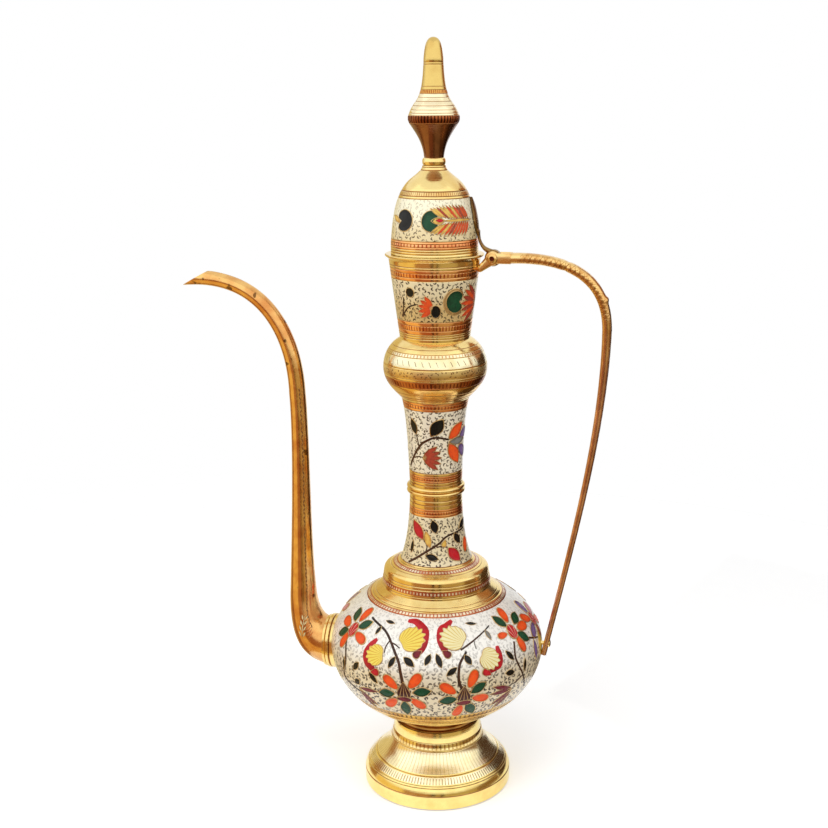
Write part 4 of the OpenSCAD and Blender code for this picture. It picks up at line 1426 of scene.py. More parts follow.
@dataclass
class Shoulder:
    """The collar between belly and neck: a slope with a beaded ring, a drum and a crown."""

    foot_r: float = 43.0
    drum_foot_r: float = 33.6
    drum_r: float = 32.2
    drum_low: float = 131.0
    drum_top: float = 140.5
    neck_r: float = 22.0
    wall: float = 2.0

    def outline(self) -> Outline:
        """The collar's outer line."""
        crown = bent((self.drum_r, self.drum_top), (self.neck_r, top_of("shoulder_collar")),
                     (0.06, 0.57), (0.57, 0.43))
        slope = np.linspace((self.foot_r, top_of("belly_upper_bowl")), (self.drum_foot_r, self.drum_low), 12)
        drum = np.linspace((self.drum_foot_r, self.drum_low), (self.drum_r, self.drum_top), 12)
        return Outline(slope, drum, crown)

    def build(self) -> None:
        """Builds the collar."""
        red = ("#C46A40", "#A44E2C")
        beads = TickRow(124.5, 125.7, 120, -0.12, 0.7)
        drum = TickRow(133.9, 135.5, 96, -0.12, 0.5)
        crown = TickRow(145.0, 146.0, 84, -0.12, 0.7)
        rows = (("shoulder_beads", beads, 0.3), ("drum_beads", drum, 0.6), ("crown_beads", crown, 0.3))
        zones = tuple(ticked_zone(name, red, "#F6E8C8", row, metallic=0.7, rim=rim) for name, row, rim in rows)
        lines = grooves((123.4, 126.6, 128.0, 132.4, 137.0, 138.8, 144.2, 146.8), 0.5, 0.16)
        piece = Turned("shoulder", self.outline(), self.wall, POLISHED, lines, (beads, drum, crown), zones, 336)
        mount(piece.build(), "vessel", "polished_brass", "shoulder_collar")


@dataclass
class Neck:
    """The waisted neck in two lengths, with the double ring between them."""

    base_r: float = 22.0
    waist_r: float = 15.9
    top_r: float = 20.3
    wall: float = 1.6
    ring_r: float = 17.6
    ring_wall: float = 4.0
    ring_round: float = 0.55
    ground_r: float = 17.0

    def build(self) -> None:
        """Builds the two enamelled lengths and the ring."""
        lower = Outline(bent((self.base_r, top_of("shoulder_collar")), (self.waist_r, top_of("lower_neck")),
                             (0.56, 0.155), (1, 0.58), 30))
        upper = Outline(bent((self.waist_r, low_of("upper_neck")), (self.top_r, low_of("neck_bulb")),
                             (0.09, 0.34), (0.32, 0.8), 36))
        ground = ChasedGround("neck_ground", self.ground_r, "#F6EAD0", "#EBDAB2", "#463220", 150.0, 240.0,
                              1.0, 2.3, half=0.27, bold=0.155)
        low_bands = (RedBand("low_neck_band", 177.2, 182.0, 60),)
        high_bands = (RedBand("mid_neck_band", 198.5, 202.6, 60), RedBand("top_neck_band", 243.0, 248.0, 60))
        low_lines = grooves((147.8, 184.5, 187.0), 0.7, 0.2)
        high_lines = (Line(196.8, 0.7, 0.2), Line(204.2, 0.7, 0.25))
        EnamelledTube("neck_lower", "lower_neck", lower, self.wall, low_bands, Zone(148.0, 176.8, ground),
                      low_lines, LOW_NECK_STEMS, LOW_NECK_CELLS).build()
        EnamelledTube("neck_upper", "upper_neck", upper, self.wall, high_bands, Zone(204.6, 242.8, ground),
                      high_lines, UP_NECK_STEMS, UP_NECK_CELLS).build()
        low, high = top_of("lower_neck"), low_of("upper_neck")
        half = (high - low) / 2
        bulge = half * self.ring_round
        rolls = [half_round(self.ring_r - bulge, bulge, middle, half / 2, 11)
                 for middle in (low + half / 2, high - half / 2)]
        ring = Turned("neck_ring_pair", Outline(*rolls), self.ring_wall)
        mount(ring.build(), "vessel", "polished_brass", "neck_ring")


NECK_ARC = 0.3
LOW_NECK_STEMS = (
    Stem(((-51.4, 148.6), (-20.0, 156.2), (5.0, 161.6), (25.0, 166.0), (72.0, 168.0)), 1.8),
    Stem(((-24.0, 163.3), (-17.7, 160.0), (-19.9, 156.2)), 1.1),
    Stem(((0.2, 159.5), (10.0, 159.9), (21.0, 159.1)), 1.1))
LOW_NECK_CELLS = (
    *leaves({Tint.RED: ((-39.4, 169.0, 127, 14.5, 6.8), (32.8, 154.4, -52, 12.5, 7.2)),
             Tint.GOLD: ((-16.6, 164.0, 107, 11, 4.2),),
             Tint.BLACK: ((-4, 171.9, 104, 9, 5), (44, 163.5, -63, 8.5, 4.6), (-8, 153.4, -14, 9, 4.4),
                          (66, 171.2, 30, 10, 4.6), (-50, 158.2, 88, 8.5, 2.6))}),
    Cell(Form.PETAL, Tint.ORANGE, 66, 158, 70, 10, 5.5), Cell(Form.DROP, Tint.GOLD, 15.5, 161.6, 250, 5, 3.4))
UP_NECK_STEMS = (
    Stem(((-67.2, 207.4), (-35.7, 220.7), (-18.6, 225.1), (1.1, 227.2), (27.0, 225.6)), 2.0),
    Stem(((-35.7, 220.7), (-39.0, 225.8), (-42.1, 229.4)), 1.1),
    Stem(((-50.6, 213.5), (-38.0, 214.6), (-26.1, 214.6)), 1.0))
UP_NECK_CELLS = (
    *leaves({Tint.BLACK: ((-45.6, 233.2, 107, 10.5, 5.2), (2.4, 233.4, 56, 13.5, 8)),
             Tint.ORANGE: ((43.1, 230.6, 43, 14.5, 7.5), (39.8, 216.7, -60, 16, 7.5))}),
    *Sprig(-27.5, 214.3, (40, 21, 2, -17, -37), 12.0, 3.8, Tint.RUST, NECK_ARC).cells(),
    Cell(Form.PETAL, Tint.VIOLET, 66, 227.5, 40, 11, 7), Cell(Form.PETAL, Tint.VIOLET, 66, 217.5, -40, 11, 7),
    Cell(Form.LEAF, Tint.GREY, 49, 224.2, 0, 14, 5, lift=0.1))


@dataclass
class Bulb:
    """The bulb between neck and cup."""

    low_r: float = 20.3
    wide_r: float = 30.9
    low_h: float = 18.7
    top_r: float = 20.8
    wall: float = 1.6

    def build(self) -> None:
        """Builds the bulb."""
        wide = (self.wide_r, low_of("neck_bulb") + self.low_h)
        outline = Outline(bent((self.low_r, low_of("neck_bulb")), wide, (0.3, 0.21), (1, 0.48), 28),
                          bent(wide, (self.top_r, top_of("neck_bulb")), (0, 0.39), (0.34, 0.8), 28))
        band = TickRow(259.4, 262.2, 84, 0.08, 0.4)
        slanted = TickRow(272.0, 275.0, 44, 0.06, 0.12, 0.1)
        dots = TickRow(277.0, 278.4, 84, 0.06, 0.4)
        scales = ChasedGround("bulb_scales", self.wide_r, "#EFD592", "#CDA052", "#80502A", 264.0, 270.0,
                              1.0, 2.2, 0.85, half=0.16, bold=0.12)
        # The slanted and dotted bands are pale cream, a painted highlight
        pale = ("#F8EEC8", "#EAD7A2")
        # The lowest zone is a painted warm reflection
        zones = (Zone(249.8, 258.4, BULB_UNDER_REFLECTION),
                 Zone(258.9, 262.9, TickedBrass("bulb_band", "#C88450", "#A8602F", "#7E3A20", band, 0.16)),
                 Zone(265.2, 269.6, scales),
                 Zone(271.0, 276.4, TickedBrass("bulb_slants", *pale, "#8A7A5E", slanted, 0.16)),
                 ticked_zone("bulb_dots", pale, "#C89A70", dots, 0.16))
        lines = grooves((249.6, 251.2, 254.0, 258.6, 263.2, 264.6, 270.2, 276.7, 278.7, 281.0), 0.5, 0.14)
        piece = Turned("bulb", outline, self.wall, POLISHED, lines, (band, slanted, dots), zones, 336)
        mount(piece.build(), "vessel", "polished_brass", "neck_bulb")


@dataclass
class Mouth:
    """The cup above the bulb and its flared rim."""

    base_r: float = 20.8
    top_r: float = 26.8
    rim_r: float = 29.0
    mouth_r: float = 23.0
    rim_edge: float = 1.2
    wall: float = 1.6
    spigot_h: float = 4.0
    spigot_gap: float = 0.5
    ground_r: float = 24.0

    def build(self) -> None:
        """Builds the cup, its rim and its enamel."""
        bands = (RedBand("low_cup_band", 289.0, 296.4), RedBand("top_cup_band", 320.6, 326.8))
        ground = ChasedGround("cup_ground", self.ground_r, "#EEDDB4", "#D4B274", "#36240F", 298.0, 322.0,
                              1.0, 2.4, half=0.26, bold=0.15)
        base, top = (self.base_r, top_of("neck_bulb")), (self.top_r, top_of("mouth_cup"))
        outline = Outline(np.linspace(base, top, 30))
        EnamelledTube("cup", "mouth_cup", outline, self.wall, bands, Zone(296.8, 320.2, ground),
                      grooves((286.4, 287.8, 328.4), 0.7, 0.2), CUP_STEMS, CUP_CELLS, 288).build()
        self.build_rim()

    def build_rim(self) -> None:
        """Builds the flared rim with its rounded edge and its spigot in the cup."""
        top = top_of("mouth_rim")
        low = top_of("mouth_cup")
        flare = bent((self.top_r, low), (self.rim_r - 0.3, top - self.rim_edge), (0, 0.5), (0.64, 0.74), 10)
        edge = [(self.rim_r, top - 0.8), (self.rim_r, top - 0.4), (self.rim_r - 0.5, top)]
        spigot_r = self.top_r - self.wall - self.spigot_gap
        inside = [(self.mouth_r + 0.4, top), (self.mouth_r, top - 0.4), (self.mouth_r, low - self.spigot_h),
                  (spigot_r, low - self.spigot_h), (spigot_r, low)]
        piece = coated(spun("mouth_flange", np.vstack((flare, edge, inside)), 192), POLISHED)
        mount(smoothed(piece), "vessel", "polished_brass", "mouth_rim")


CUP_ARC = 0.42
CUP_STEMS = (Stem(((-54.9, 298.9), (-50.5, 304.0), (-48.0, 310.4)), 1.3),
             Stem(((-54.9, 298.9), (-41.2, 304.8), (-26.5, 307.2)), 1.3))
CUP_CELLS = (
    Cell(Form.DISC, Tint.BLACK, -35.1, 314.0, 0, 6, 6), Cell(Form.DISC, Tint.BLACK, 1.0, 303.2, 90, 8, 6),
    *Sprig(-2.8, 304.9, (122, 145, 168, 191, 216), 9.2, 3.4, Tint.FLAME, CUP_ARC).cells(),
    Cell(Form.HEART, Tint.TAN, 28.6, 308.5, 0, 14.4, 16.0, 0.2),
    Cell(Form.HEART, Tint.GREEN, 29.6, 308.5, 0, 12, 13.5),
    *Sprig(78, 306.2, (134, 162, 190, 218), 17.0, 4.0, Tint.RUST, CUP_ARC).cells(),
    *Sprig(78, 306.2, (148, 176, 204), 17.5, 4.0, Tint.FLAME, CUP_ARC).cells())


@dataclass
class Lid:
    """The domed lid with its enamel, and the finial on top of it."""

    reach: float = 25.5
    skirt_h: float = 6.0
    dome_h: float = 37.0
    neck_r: float = 13.2
    crown_r: float = 6.8
    wall: float = 1.6
    crown_t: float = 6.0
    hole_r: float = 2.05
    stem_r: float = 5.7
    flare_h: float = 22.0
    flare_r: float = 14.8
    flare_edge_h: float = 5.5
    flare_edge: float = 0.65
    spire_h: float = 33.0
    spire_r: float = 5.6
    finial_wall: float = 2.4
    roll: float = 1.1
    roll_wall: float = 3.0
    ground_r: float = 23.5
    dots: TickRow = TickRow(368.2, 370.3, 88, 0.08, 0.4)
    lines: tuple[Line, ...] = (*grooves((335.6, 337.0, 366.6), 0.7, 0.2), Line(383.4, 0.6, 0.2),
                               *grooves((368.0, 370.5, 381.8), 0.7, 0.25))

    def outline(self) -> Outline:
        """The lid's outer line."""
        low = low_of("lid_dome")
        wall_z = low + self.skirt_h
        neck_z = wall_z + self.dome_h
        return Outline(np.linspace((self.reach, low), (self.reach, wall_z), 5),
                       bent((self.reach, wall_z), (self.neck_r, neck_z), (0.09, 0.27), (0.12, 0.77), 34),
                       bent((self.neck_r, neck_z), (self.crown_r, top_of("lid_dome")),
                            (0.47, 0.34), (0.98, 0.64)))

    def build(self) -> None:
        """Builds the lid, its enamel, the collar and the finial."""
        # The lid's ground: painted highlight towards its top, where the strokes fade to 0.4
        ground = ChasedGround("lid_ground", self.ground_r, "#FBF2D2", "#EAD4A0", "#5A4226", 344.0, 362.0,
                              0.4, 2.4, half=0.26, bold=0.13)
        dotted = ticked_zone("lid_dots", ("#F0D898", "#DDB46A"), "#B07844", self.dots)
        outline = self.outline()
        inner = outline.inset(self.wall)
        top = top_of("lid_dome")
        floor = top - self.crown_t
        inner = np.vstack((inner[inner[:, 1] < floor], [(self.hole_r, floor), (self.hole_r, top)]))
        EnamelledTube("lid", "lid_dome", outline, self.wall, (RedBand("lid_band", 338.4, 343.0, 66),),
                      Zone(343.5, 366.3, ground), self.lines, (), LID_CELLS, 264, "lid", (self.dots,),
                      (dotted,), inner).build()
        self.build_finial()

    def build_finial(self) -> None:
        """Builds the collar and the turned finial."""
        half = (top_of("finial_collar") - top_of("lid_dome")) / 2
        collar = Outline(half_round(self.stem_r, self.roll, top_of("lid_dome") + half, half, 13))
        mount(Turned("finial_roll", collar, self.roll_wall).build(), "lid", "polished_brass", "finial_collar")
        low = top_of("finial_collar")
        wide = low + self.flare_h
        spire = wide + self.spire_h
        under = (self.flare_r - self.flare_edge, wide - self.flare_edge_h / 2)
        over = (self.flare_r - self.flare_edge, wide + self.flare_edge_h / 2)
        flat = self.flare_edge_h / 6
        outline = Outline(bent((self.stem_r, low), under, (0.08, 0.44), (0.56, 0.72), 24),
                          [(self.flare_r, wide - flat), (self.flare_r, wide + flat)],
                          bent(over, (self.spire_r, spire), (0.4, 0.3), (0.9, 0.15), 34),
                          bent((self.spire_r, spire), (0, top_of("finial")), (0.12, 0.57), (0.25, 1), 20))
        knurl = TickRow(wide - 2.6, wide + 1.4, 48, 0.3, 0.5)
        hatch = TickRow(424.4, 426.2, 42, 0.2, 0.45)
        # Painted shade on the flare's underside
        zones = (Zone(low, knurl.low, FLARE_UNDER_SHADE),
                 ticked_zone("finial_knurl", ("#A05A30", "#6A3018"), "#3A1A0E", knurl, 0.32),
                 # Painted highlight above the knurl
                 Zone(knurl.high, hatch.low, SPIRE_PAINTED_HIGHLIGHT),
                 ticked_zone("finial_hatch", ("#E0B45C", "#C88A4A"), "#A04A2A", hatch))
        lines = grooves((wide - 2.8, wide + 1.6, 413.6, 415.4, 417.6, 420.0, 422.2, 424.2, 426.4, 428.2, 440.2,
                         441.4), 0.45, 0.12)
        finial = Turned("finial_spire", outline, self.finial_wall, SPIRE, lines, (knurl, hatch), zones, 192)
        mount(finial.build(), "lid", "polished_brass", "finial")


FEATHER_TINTS = (Tint.GOLD, Tint.GOLD, Tint.RUST, Tint.GOLD, Tint.GOLD, Tint.FLAME, Tint.GOLD, Tint.FLAME,
                 Tint.RUST, Tint.FLAME, Tint.FLAME)


def feather(root: float, tip: float, height: float) -> list[Cell]:
    """Barbs on both sides of a feather's shaft, gold towards its tip and red at its root.

    Args:
        root, tip: turns of the shaft's ends.
        height: height of the shaft.
    Returns:
        The feather's cells.
    """
    cells = []
    last = len(FEATHER_TINTS) - 1
    for number, tint in enumerate(FEATHER_TINTS):
        share = number / last
        turn = tip + (root - tip) * (0.2 + 0.8 * share)
        lean = 142 - 26 * share
        length = 9.0 + 2.5 * math.sin(math.pi * share)
        for side in (1, -1):
            own = tint if side > 0 else FEATHER_TINTS[min(number + 3, last)]
            place = (turn - 7.0, height + side * 4.4)
            cells.append(Cell(Form.STROKE, own, *place, side * lean, length, 2.0, 0.25, 0.05))
    middle = (root + tip) / 2
    cells.append(Cell(Form.LEAF, Tint.GOLD, middle + 8, height, 0, 22.0, 1.7, 0.25, 0.1))
    cells.append(Cell(Form.LEAF, Tint.GOLD, tip + 7, height, 0, 8.5, 4.2, 0.25, 0.14))
    cells.append(Cell(Form.LEAF, Tint.RED, tip + 9, height + 0.2, 0, 5.0, 2.4, 0.25, 0.24))
    return cells


LID_CELLS = (
    Cell(Form.KIDNEY, Tint.BLACK, -45.5, 354.6, 10, 12.6, 12.8),
    Cell(Form.STROKE, Tint.GOLD, -62, 355.0, -25, 9.0, 3.2, lift=0.1),
    Cell(Form.HEART, Tint.GREEN, -5.0, 354.6, 0, 11.0, 12.4),
    *feather(55.0, -2.0, 354.8))


# Spout and handle


@dataclass
class SpoutSkin:
    """The spout's face, by length along the tube and by turn round it from the front side.

    Its rings have centres, directions, radii and slants.
    """

    centres: Array
    ways: Array
    sizes: Array
    slants: Array
    ridge: float

    def __post_init__(self) -> None:
        """Measures the tube."""
        self.lengths = lengths_of(self.centres)

    def radius(self, length: Array | float) -> Array:
        """Radius at a length along the tube."""
        return np.interp(length, self.lengths, self.sizes)

    def length_at(self, height: Array | float) -> Array:
        """Length along the tube, which its motifs give as their height."""
        return np.asarray(height, float)

    def place(self, turn: Array, length: Array, lift: Array | float) -> Array:
        """World points on the tube.

        Args:
            turn: degrees round the tube, from the front side towards the vessel.
            length: length along the tube.
            lift: height above the face.
        Returns:
            The points, in metres.
        """
        angle = np.radians(np.asarray(turn) - 90)
        centre, way = (np.column_stack([np.interp(length, self.lengths, part[:, axis]) for axis in (0, 1)])
                       for part in (self.centres, self.ways))
        way /= np.linalg.norm(way, axis=1)[:, None]
        reach = self.radius(length) + lift
        high = (reach * np.cos(angle))[:, None]
        slant = np.interp(length, self.lengths, self.slants)[:, None]
        flat = centre + high * np.column_stack((way[:, 1], -way[:, 0])) - slant * high * way
        across = reach * (1 + self.ridge * np.abs(np.sin(angle)) ** 10) * np.sin(angle)
        return np.column_stack((flat[:, 0], across, flat[:, 1])) * MM

    def rings(self, sides: int, wall: float = 0.0) -> Array:
        """The rings' points, on the face or a wall inside it, in millimetres."""
        turn = np.tile(np.linspace(90, 450, sides, endpoint=False), len(self.lengths))
        return self.place(turn, np.repeat(self.lengths, sides), -wall).reshape(-1, sides, 3) / MM


@dataclass
class Spout:
    """The swan-neck spout with its side ridges, its root bead and its flange."""

    drop: float = 6.3
    root_r: float = 15.2
    elbow_r: float = 8.0
    stem_r: float = 5.05
    tip_r: float = 4.25
    wall: float = 1.2
    stem_reach: float = 86.7
    elbow_h: float = 36.8
    stem_h: float = 124.0
    goose_h: float = 69.0
    goose_reach: float = 63.2
    mouth_slant: float = 1.95
    bead_r: float = 16.2
    hole_r: float = 13.0
    collar_depth: float = 14.0
    ridge: float = 0.05
    sides: int = 32
    chain_turn: float = 34.0
    chain_start: float = 12.0
    chain_end: float = 172.0
    chain_pitch: float = 2.6

    def skin(self) -> SpoutSkin:
        """The spout's face from root to tip: an elbow, an upright stem and a goose neck."""
        root_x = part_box("spout_tube")[1].x / MM
        root_z = low_of("belly_upper_bowl") - self.drop
        elbow_z = root_z + self.elbow_h
        goose_z = elbow_z + self.stem_h
        stem_x = -self.stem_reach
        neck = (stem_x, goose_z)
        tip = (stem_x - self.goose_reach, goose_z + self.goose_h)
        inner = bent((root_x, root_z + self.root_r), (stem_x + self.elbow_r, elbow_z),
                     (0.75, 0.03), (0.95, 0.4), 22)
        outer = bent((root_x, root_z - self.root_r), (stem_x - self.elbow_r, elbow_z),
                     (0.62, 0.06), (1.12, 0.25), 22)
        quarter = self.stem_h / 4
        stem = cubic((stem_x, elbow_z), (stem_x - 0.06 * self.elbow_r, elbow_z + quarter),
                     (stem_x + 0.25 * self.elbow_r, goose_z - quarter), neck, 40)
        goose = bent(neck, tip, (0.012, 0.54), (0.31, 1.03), 40)
        width = inner - outer
        size = np.linalg.norm(width, axis=1)
        elbow_ways = np.column_stack((-width[:, 1], width[:, 0])) / size[:, None]
        share = np.linspace(0, 1, 41)[1:]
        taper = self.stem_r + (self.elbow_r - self.stem_r) * (1 - share) ** 2
        slim = self.stem_r + (self.tip_r - self.stem_r) * share
        slant = self.mouth_slant * np.maximum(0, 1 - (1 - share) * 5)
        return SpoutSkin(np.vstack(((inner + outer) / 2, stem[1:], goose[1:])),
                         np.vstack((elbow_ways, ways_of(stem)[1:], ways_of(goose)[1:])),
                         np.concatenate((size / 2, taper, slim)),
                         np.concatenate((0 * size, 0 * share, slant)), self.ridge)

    def build(self) -> None:
        """Builds the tube, its chasing and its collar."""
        skin = self.skin()
        rings = np.concatenate((skin.rings(self.sides), skin.rings(self.sides, self.wall)[::-1]))
        tube = coated(lofted("swan_spout", rings, looped=True), CAST)
        mount(smoothed(tube), "vessel", "cast_brass", "spout_tube")
        self.chase(EnamelWork(skin))
        self.build_collar()

    def chase(self, work: EnamelWork) -> None:
        """Lays the engraved chain, the elbow's leaf and its chevrons on both sides of the tube.

        Args:
            work: what takes the cells.
        """
        stops = np.arange(self.chain_start, self.chain_end, self.chain_pitch)
        chain = [Cell(Form.STROKE, Tint.UMBER, self.chain_turn, stop, 108 if number % 2 else 72, 3.0, 1.0, 0.12)
                 for number, stop in enumerate(stops)]
        for cell in (*chain, *SPOUT_CELLS):
            work.lay(cell)
            work.lay(replace(cell, turn=180 - cell.turn, angle=180 - cell.angle))
        work.mount("spout_chasing", "vessel", "cast_brass")

    def build_collar(self) -> None:
        """Builds the grooved collar between spout and belly, turned about the spout's root."""
        low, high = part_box("spout_bead")
        reach = reach_of("spout_flange")
        end, step = -low.x / MM, -high.x / MM
        start = end - self.collar_depth
        outline = Outline(np.linspace((reach, start), (reach, step - 0.4), 12), [(reach - 0.4, step)],
                          np.linspace((self.bead_r, step), (self.bead_r, end), 6))
        lines = (Line(step - 2.6, 1.3, 0.7), Line(step, 1.4, 0.8))
        collar = Turned("spout_collar", outline, reach - self.hole_r, POLISHED, lines, steps=96).build()
        laid(collar, "Y", -90, (0, 0, (low.z + high.z) / 2 / MM))
        mount(collar, "vessel", "dark_brass", "spout_flange", "spout_bead")


ELBOW_ARC = 0.22


def engraved_leaf(turn: float, length: float, lean: float) -> list[Cell]:
    """Strokes of a leaf on the spout's elbow: a vein and short veins on both sides of it.

    Args:
        turn, length: the leaf's middle on the tube.
        lean: direction of its vein.
    Returns:
        The leaf's cells.
    """
    way = math.radians(lean)
    cells = [Cell(Form.STROKE, Tint.PALE, turn, length, lean, 13.0, 1.1, 0.12)]
    for along in (-4.4, -1.6, 1.2, 4.0):
        for side in (2.3, -2.3):
            right = along * math.cos(way) - side * math.sin(way)
            up = along * math.sin(way) + side * math.cos(way)
            place = (turn + right / ELBOW_ARC, length + up)
            cells.append(Cell(Form.STROKE, Tint.PALE, *place, lean + math.copysign(50, side), 3.8, 1.3, 0.12))
    return cells


SPOUT_CELLS = (
    *engraved_leaf(8, 19.5, 46),
    *(Cell(Form.STROKE, Tint.COPPER, 21 - 1.5 * step, 13 - 1.7 * step, -17, 6.0, 1.0, 0.14)
      for step in range(-2, 3)))


@dataclass
class Handle:
    """The looped handle: a forked head, an engraved top and a plain bar down to the belly."""

    hinge_x: float = 34.8
    hinge_z: float = 332.0
    fork_end: float = 45.5
    web: float = 1.5
    reach: float = 101.2
    bow_drop: float = 40.0
    foot_drop: float = 3.0
    top_t: float = 6.2
    bend_t: float = 5.5
    foot_t: float = 3.4
    top_w: float = 8.6
    foot_w: float = 5.6
    fullness: float = 0.7
    stroke_pitch: float = 3.0
    stroke_depth: float = 0.1
    plain_start: float = 4.0
    notch_at: float = 33.0
    thorn_back: float = 17.0
    thorn: float = 1.0
    cheek_r: float = 4.2
    cheek_t: float = 2.3
    slot_w: float = 4.5
    lug_r: float = 2.3
    lug: Point = (27.91, 326.0)
    pin_r: float = 1.6
    pin_head_t: float = 1.1
    rivet_r: float = 1.3
    rivet_head: Point = (2.3, 0.9)
    eye_r: float = 1.25
    strap_r: float = 4.8
    strap_w: float = 4.0
    strap_hole_r: float = 1.68
    leaf_t: float = 1.6
    leaf_low: float = 348.0
    leaf_full: float = 353.0
    leaf_sink: float = 0.2
    arm_over: tuple[Point, ...] = ((36.6, 336.3), (33.0, 337.2), (29.6, 338.9), (27.4, 342.6))
    arm_over_x: float = 26.8
    arm_under: tuple[Point, ...] = ((33.2, 333.6), (31.0, 334.8), (28.4, 337.2), (26.3, 341.2))
    cheek_round: float = 0.9
    lug_flat: float = 0.85
    dome_r: float = 24.0
    sides: int = 28

    def path(self) -> tuple[Array, Array, Array, int]:
        """The bar's middle line from fork to foot, its thickness, its width and the bow's index."""
        belly_r = reach_of("belly_upper_bowl")
        bow = (self.reach, self.hinge_z - self.bow_drop)
        foot = (belly_r + self.foot_t / 2 - 0.1, low_of("belly_upper_bowl") - self.foot_drop)
        top = bent((self.fork_end - self.web / 2, self.hinge_z), bow, (0.5, -0.03), (0.99, 0.14), 240)
        down = bent(bow, foot, (0.018, 0.305), (0.55, 0.665), 110)
        along, after = np.linspace(0, 1, len(top)), np.linspace(0, 1, len(down))[1:]
        thick = np.concatenate((self.top_t + (self.bend_t - self.top_t) * along,
                                self.bend_t + (self.foot_t - self.bend_t) * (1 - (1 - after) ** 2)))
        wide = np.concatenate((np.full(len(top), self.top_w), self.top_w + (self.foot_w - self.top_w) * after))
        return np.vstack((top, down[1:])), thick, wide, len(top) - 1

    def ring(self, at: Array, way: Array, depth: float, width: float, middle: float = 0.0) -> Array:
        """One ring of points across a bar with softened corners.

        Args:
            at, way: the ring's centre and direction.
            depth, width: its two sizes.
            middle: its place across the handle.
        Returns:
            The points, in millimetres.
        """
        turn = np.linspace(0, math.tau, self.sides, endpoint=False)
        high = depth / 2 * np.sign(np.cos(turn)) * np.abs(np.cos(turn)) ** self.fullness
        side = width / 2 * np.sign(np.sin(turn)) * np.abs(np.sin(turn)) ** self.fullness
        flat = at + high[:, None] * np.array((way[1], -way[0]))
        return np.column_stack((flat[:, 0], middle + side, flat[:, 1]))

    def on_pin(self, piece: Piece, middle: float = 0.0) -> Piece:
        """Lays a turned piece on the hinge pin's axis, at a place across the handle."""
        return laid(piece, "X", 90, (self.hinge_x, middle, self.hinge_z))

    def build(self) -> None:
        """Builds the bar with its fork."""
        pieces = [self.bar()]
        for side in (-1, 1):
            pieces += self.cheek(side * (self.slot_w + self.cheek_t) / 2)
        whole = coated(joined("handle_loop", pieces), HANDLE)
        self.engrave(whole.data)
        mount(smoothed(whole), "vessel", "cast_brass", "handle")
        self.build_pin()
        self.build_rivet()
        self.build_strap()

    def build_rivet(self) -> None:
        """Builds the rivet through the bar's foot, from the belly's wall to a low domed head."""
        low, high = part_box("handle_rivet")
        middle = (low.z + high.z) / 2
        line, thick, _, bow = self.path()
        after = np.argmin(np.abs(line[bow:, 1] - middle / MM)) + bow
        face = line[after, 0] + thick[after] / 2
        head_r, head_h = self.rivet_head
        turn = np.linspace(0, math.pi / 2, 7)
        dome = np.column_stack((head_r * np.cos(turn), face + head_h * np.sin(turn)))
        shaft = [(0, low.x / MM), (self.rivet_r, low.x / MM), (self.rivet_r, face - 0.5), (head_r, face - 0.5)]
        rivet = coated(spun("foot_rivet", np.vstack((shaft, dome)), 40), POLISHED)
        laid(rivet, "Y", 90, (0, 0, middle / MM))
        mount(smoothed(rivet), "vessel", "cast_brass", "handle_rivet")

    def build_strap(self) -> None:
        """Builds the lid's strap: an eye on the pin, a curved arm and a pointed leaf on the dome."""
        eye = [(self.strap_hole_r, -1), (self.strap_r - 0.4, -1), (self.strap_r, -0.8), (self.strap_r, 0.8),
               (self.strap_r - 0.4, 1), (self.strap_hole_r, 1)]
        knuckle = self.on_pin(spun("eye", np.array(eye) * (1, self.strap_w / 2), 48))
        strap = coated(joined("hinge_strap", [knuckle, self.strap_arm()]), STRAP)
        mount(smoothed(strap), "lid", "dark_brass", "lid_strap")

    def strap_arm(self) -> Piece:
        """The strap's curved arm and its leaf, which lies on the dome."""
        dome = Lid().outline()
        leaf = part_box("lid_strap")[1] / MM
        rise = np.linspace(self.leaf_low, leaf.z, 24)
        reach = dome.radius(dome.length_at(rise))
        inside = reach - self.leaf_sink
        over = flowing([*self.arm_over, (self.arm_over_x, self.leaf_low)])
        under = flowing([*self.arm_under, (inside[0], self.leaf_low)])
        over = np.vstack((over[:-1], np.column_stack((reach + self.leaf_t, rise))))
        under = np.vstack((under[:-1], np.column_stack((inside, rise))))
        full = leaf.y * 2
        wide = np.interp(over[:, 1], (self.leaf_low - 3, self.leaf_full, leaf.z - 4, leaf.z),
                         (self.strap_w, full, full * 0.75, 0.8))
        rings = []
        for near, far, width in zip(under, over, wide):
            across = far - near
            depth = np.linalg.norm(across)
            ring = self.ring((near + far) / 2, np.array((-across[1], across[0])) / depth, depth, width)
            ring[:, 0] -= ring[:, 1] ** 2 / (2 * self.dome_r) * (far[1] > self.leaf_low)
            rings.append(ring)
        return lofted("arm", np.array(rings))

    def engrave(self, mesh: Mesh) -> None:
        """Darkens the strokes on the sides of the bar's top."""
        mesh.materials.append(made(ENGRAVED))
        line, _, _, bow = self.path()
        ways = ways_of(line)
        lengths = lengths_of(line)
        middle = face_middles(mesh)
        away = np.hypot(middle[:, :1] - line[None, :, 0], middle[:, 2:] - line[None, :, 1])
        ring = np.argmin(away, axis=1)
        gap = middle[:, (0, 2)] - line[ring]
        high = gap[:, 0] * ways[ring, 1] - gap[:, 1] * ways[ring, 0]
        turn = np.arctan2(middle[:, 1] / self.top_w, high / self.top_t)
        depth = self.stroke(lengths[ring], turn, lengths[bow])
        mesh.polygons.foreach_set("material_index", (depth > 0.5).astype(np.int32))

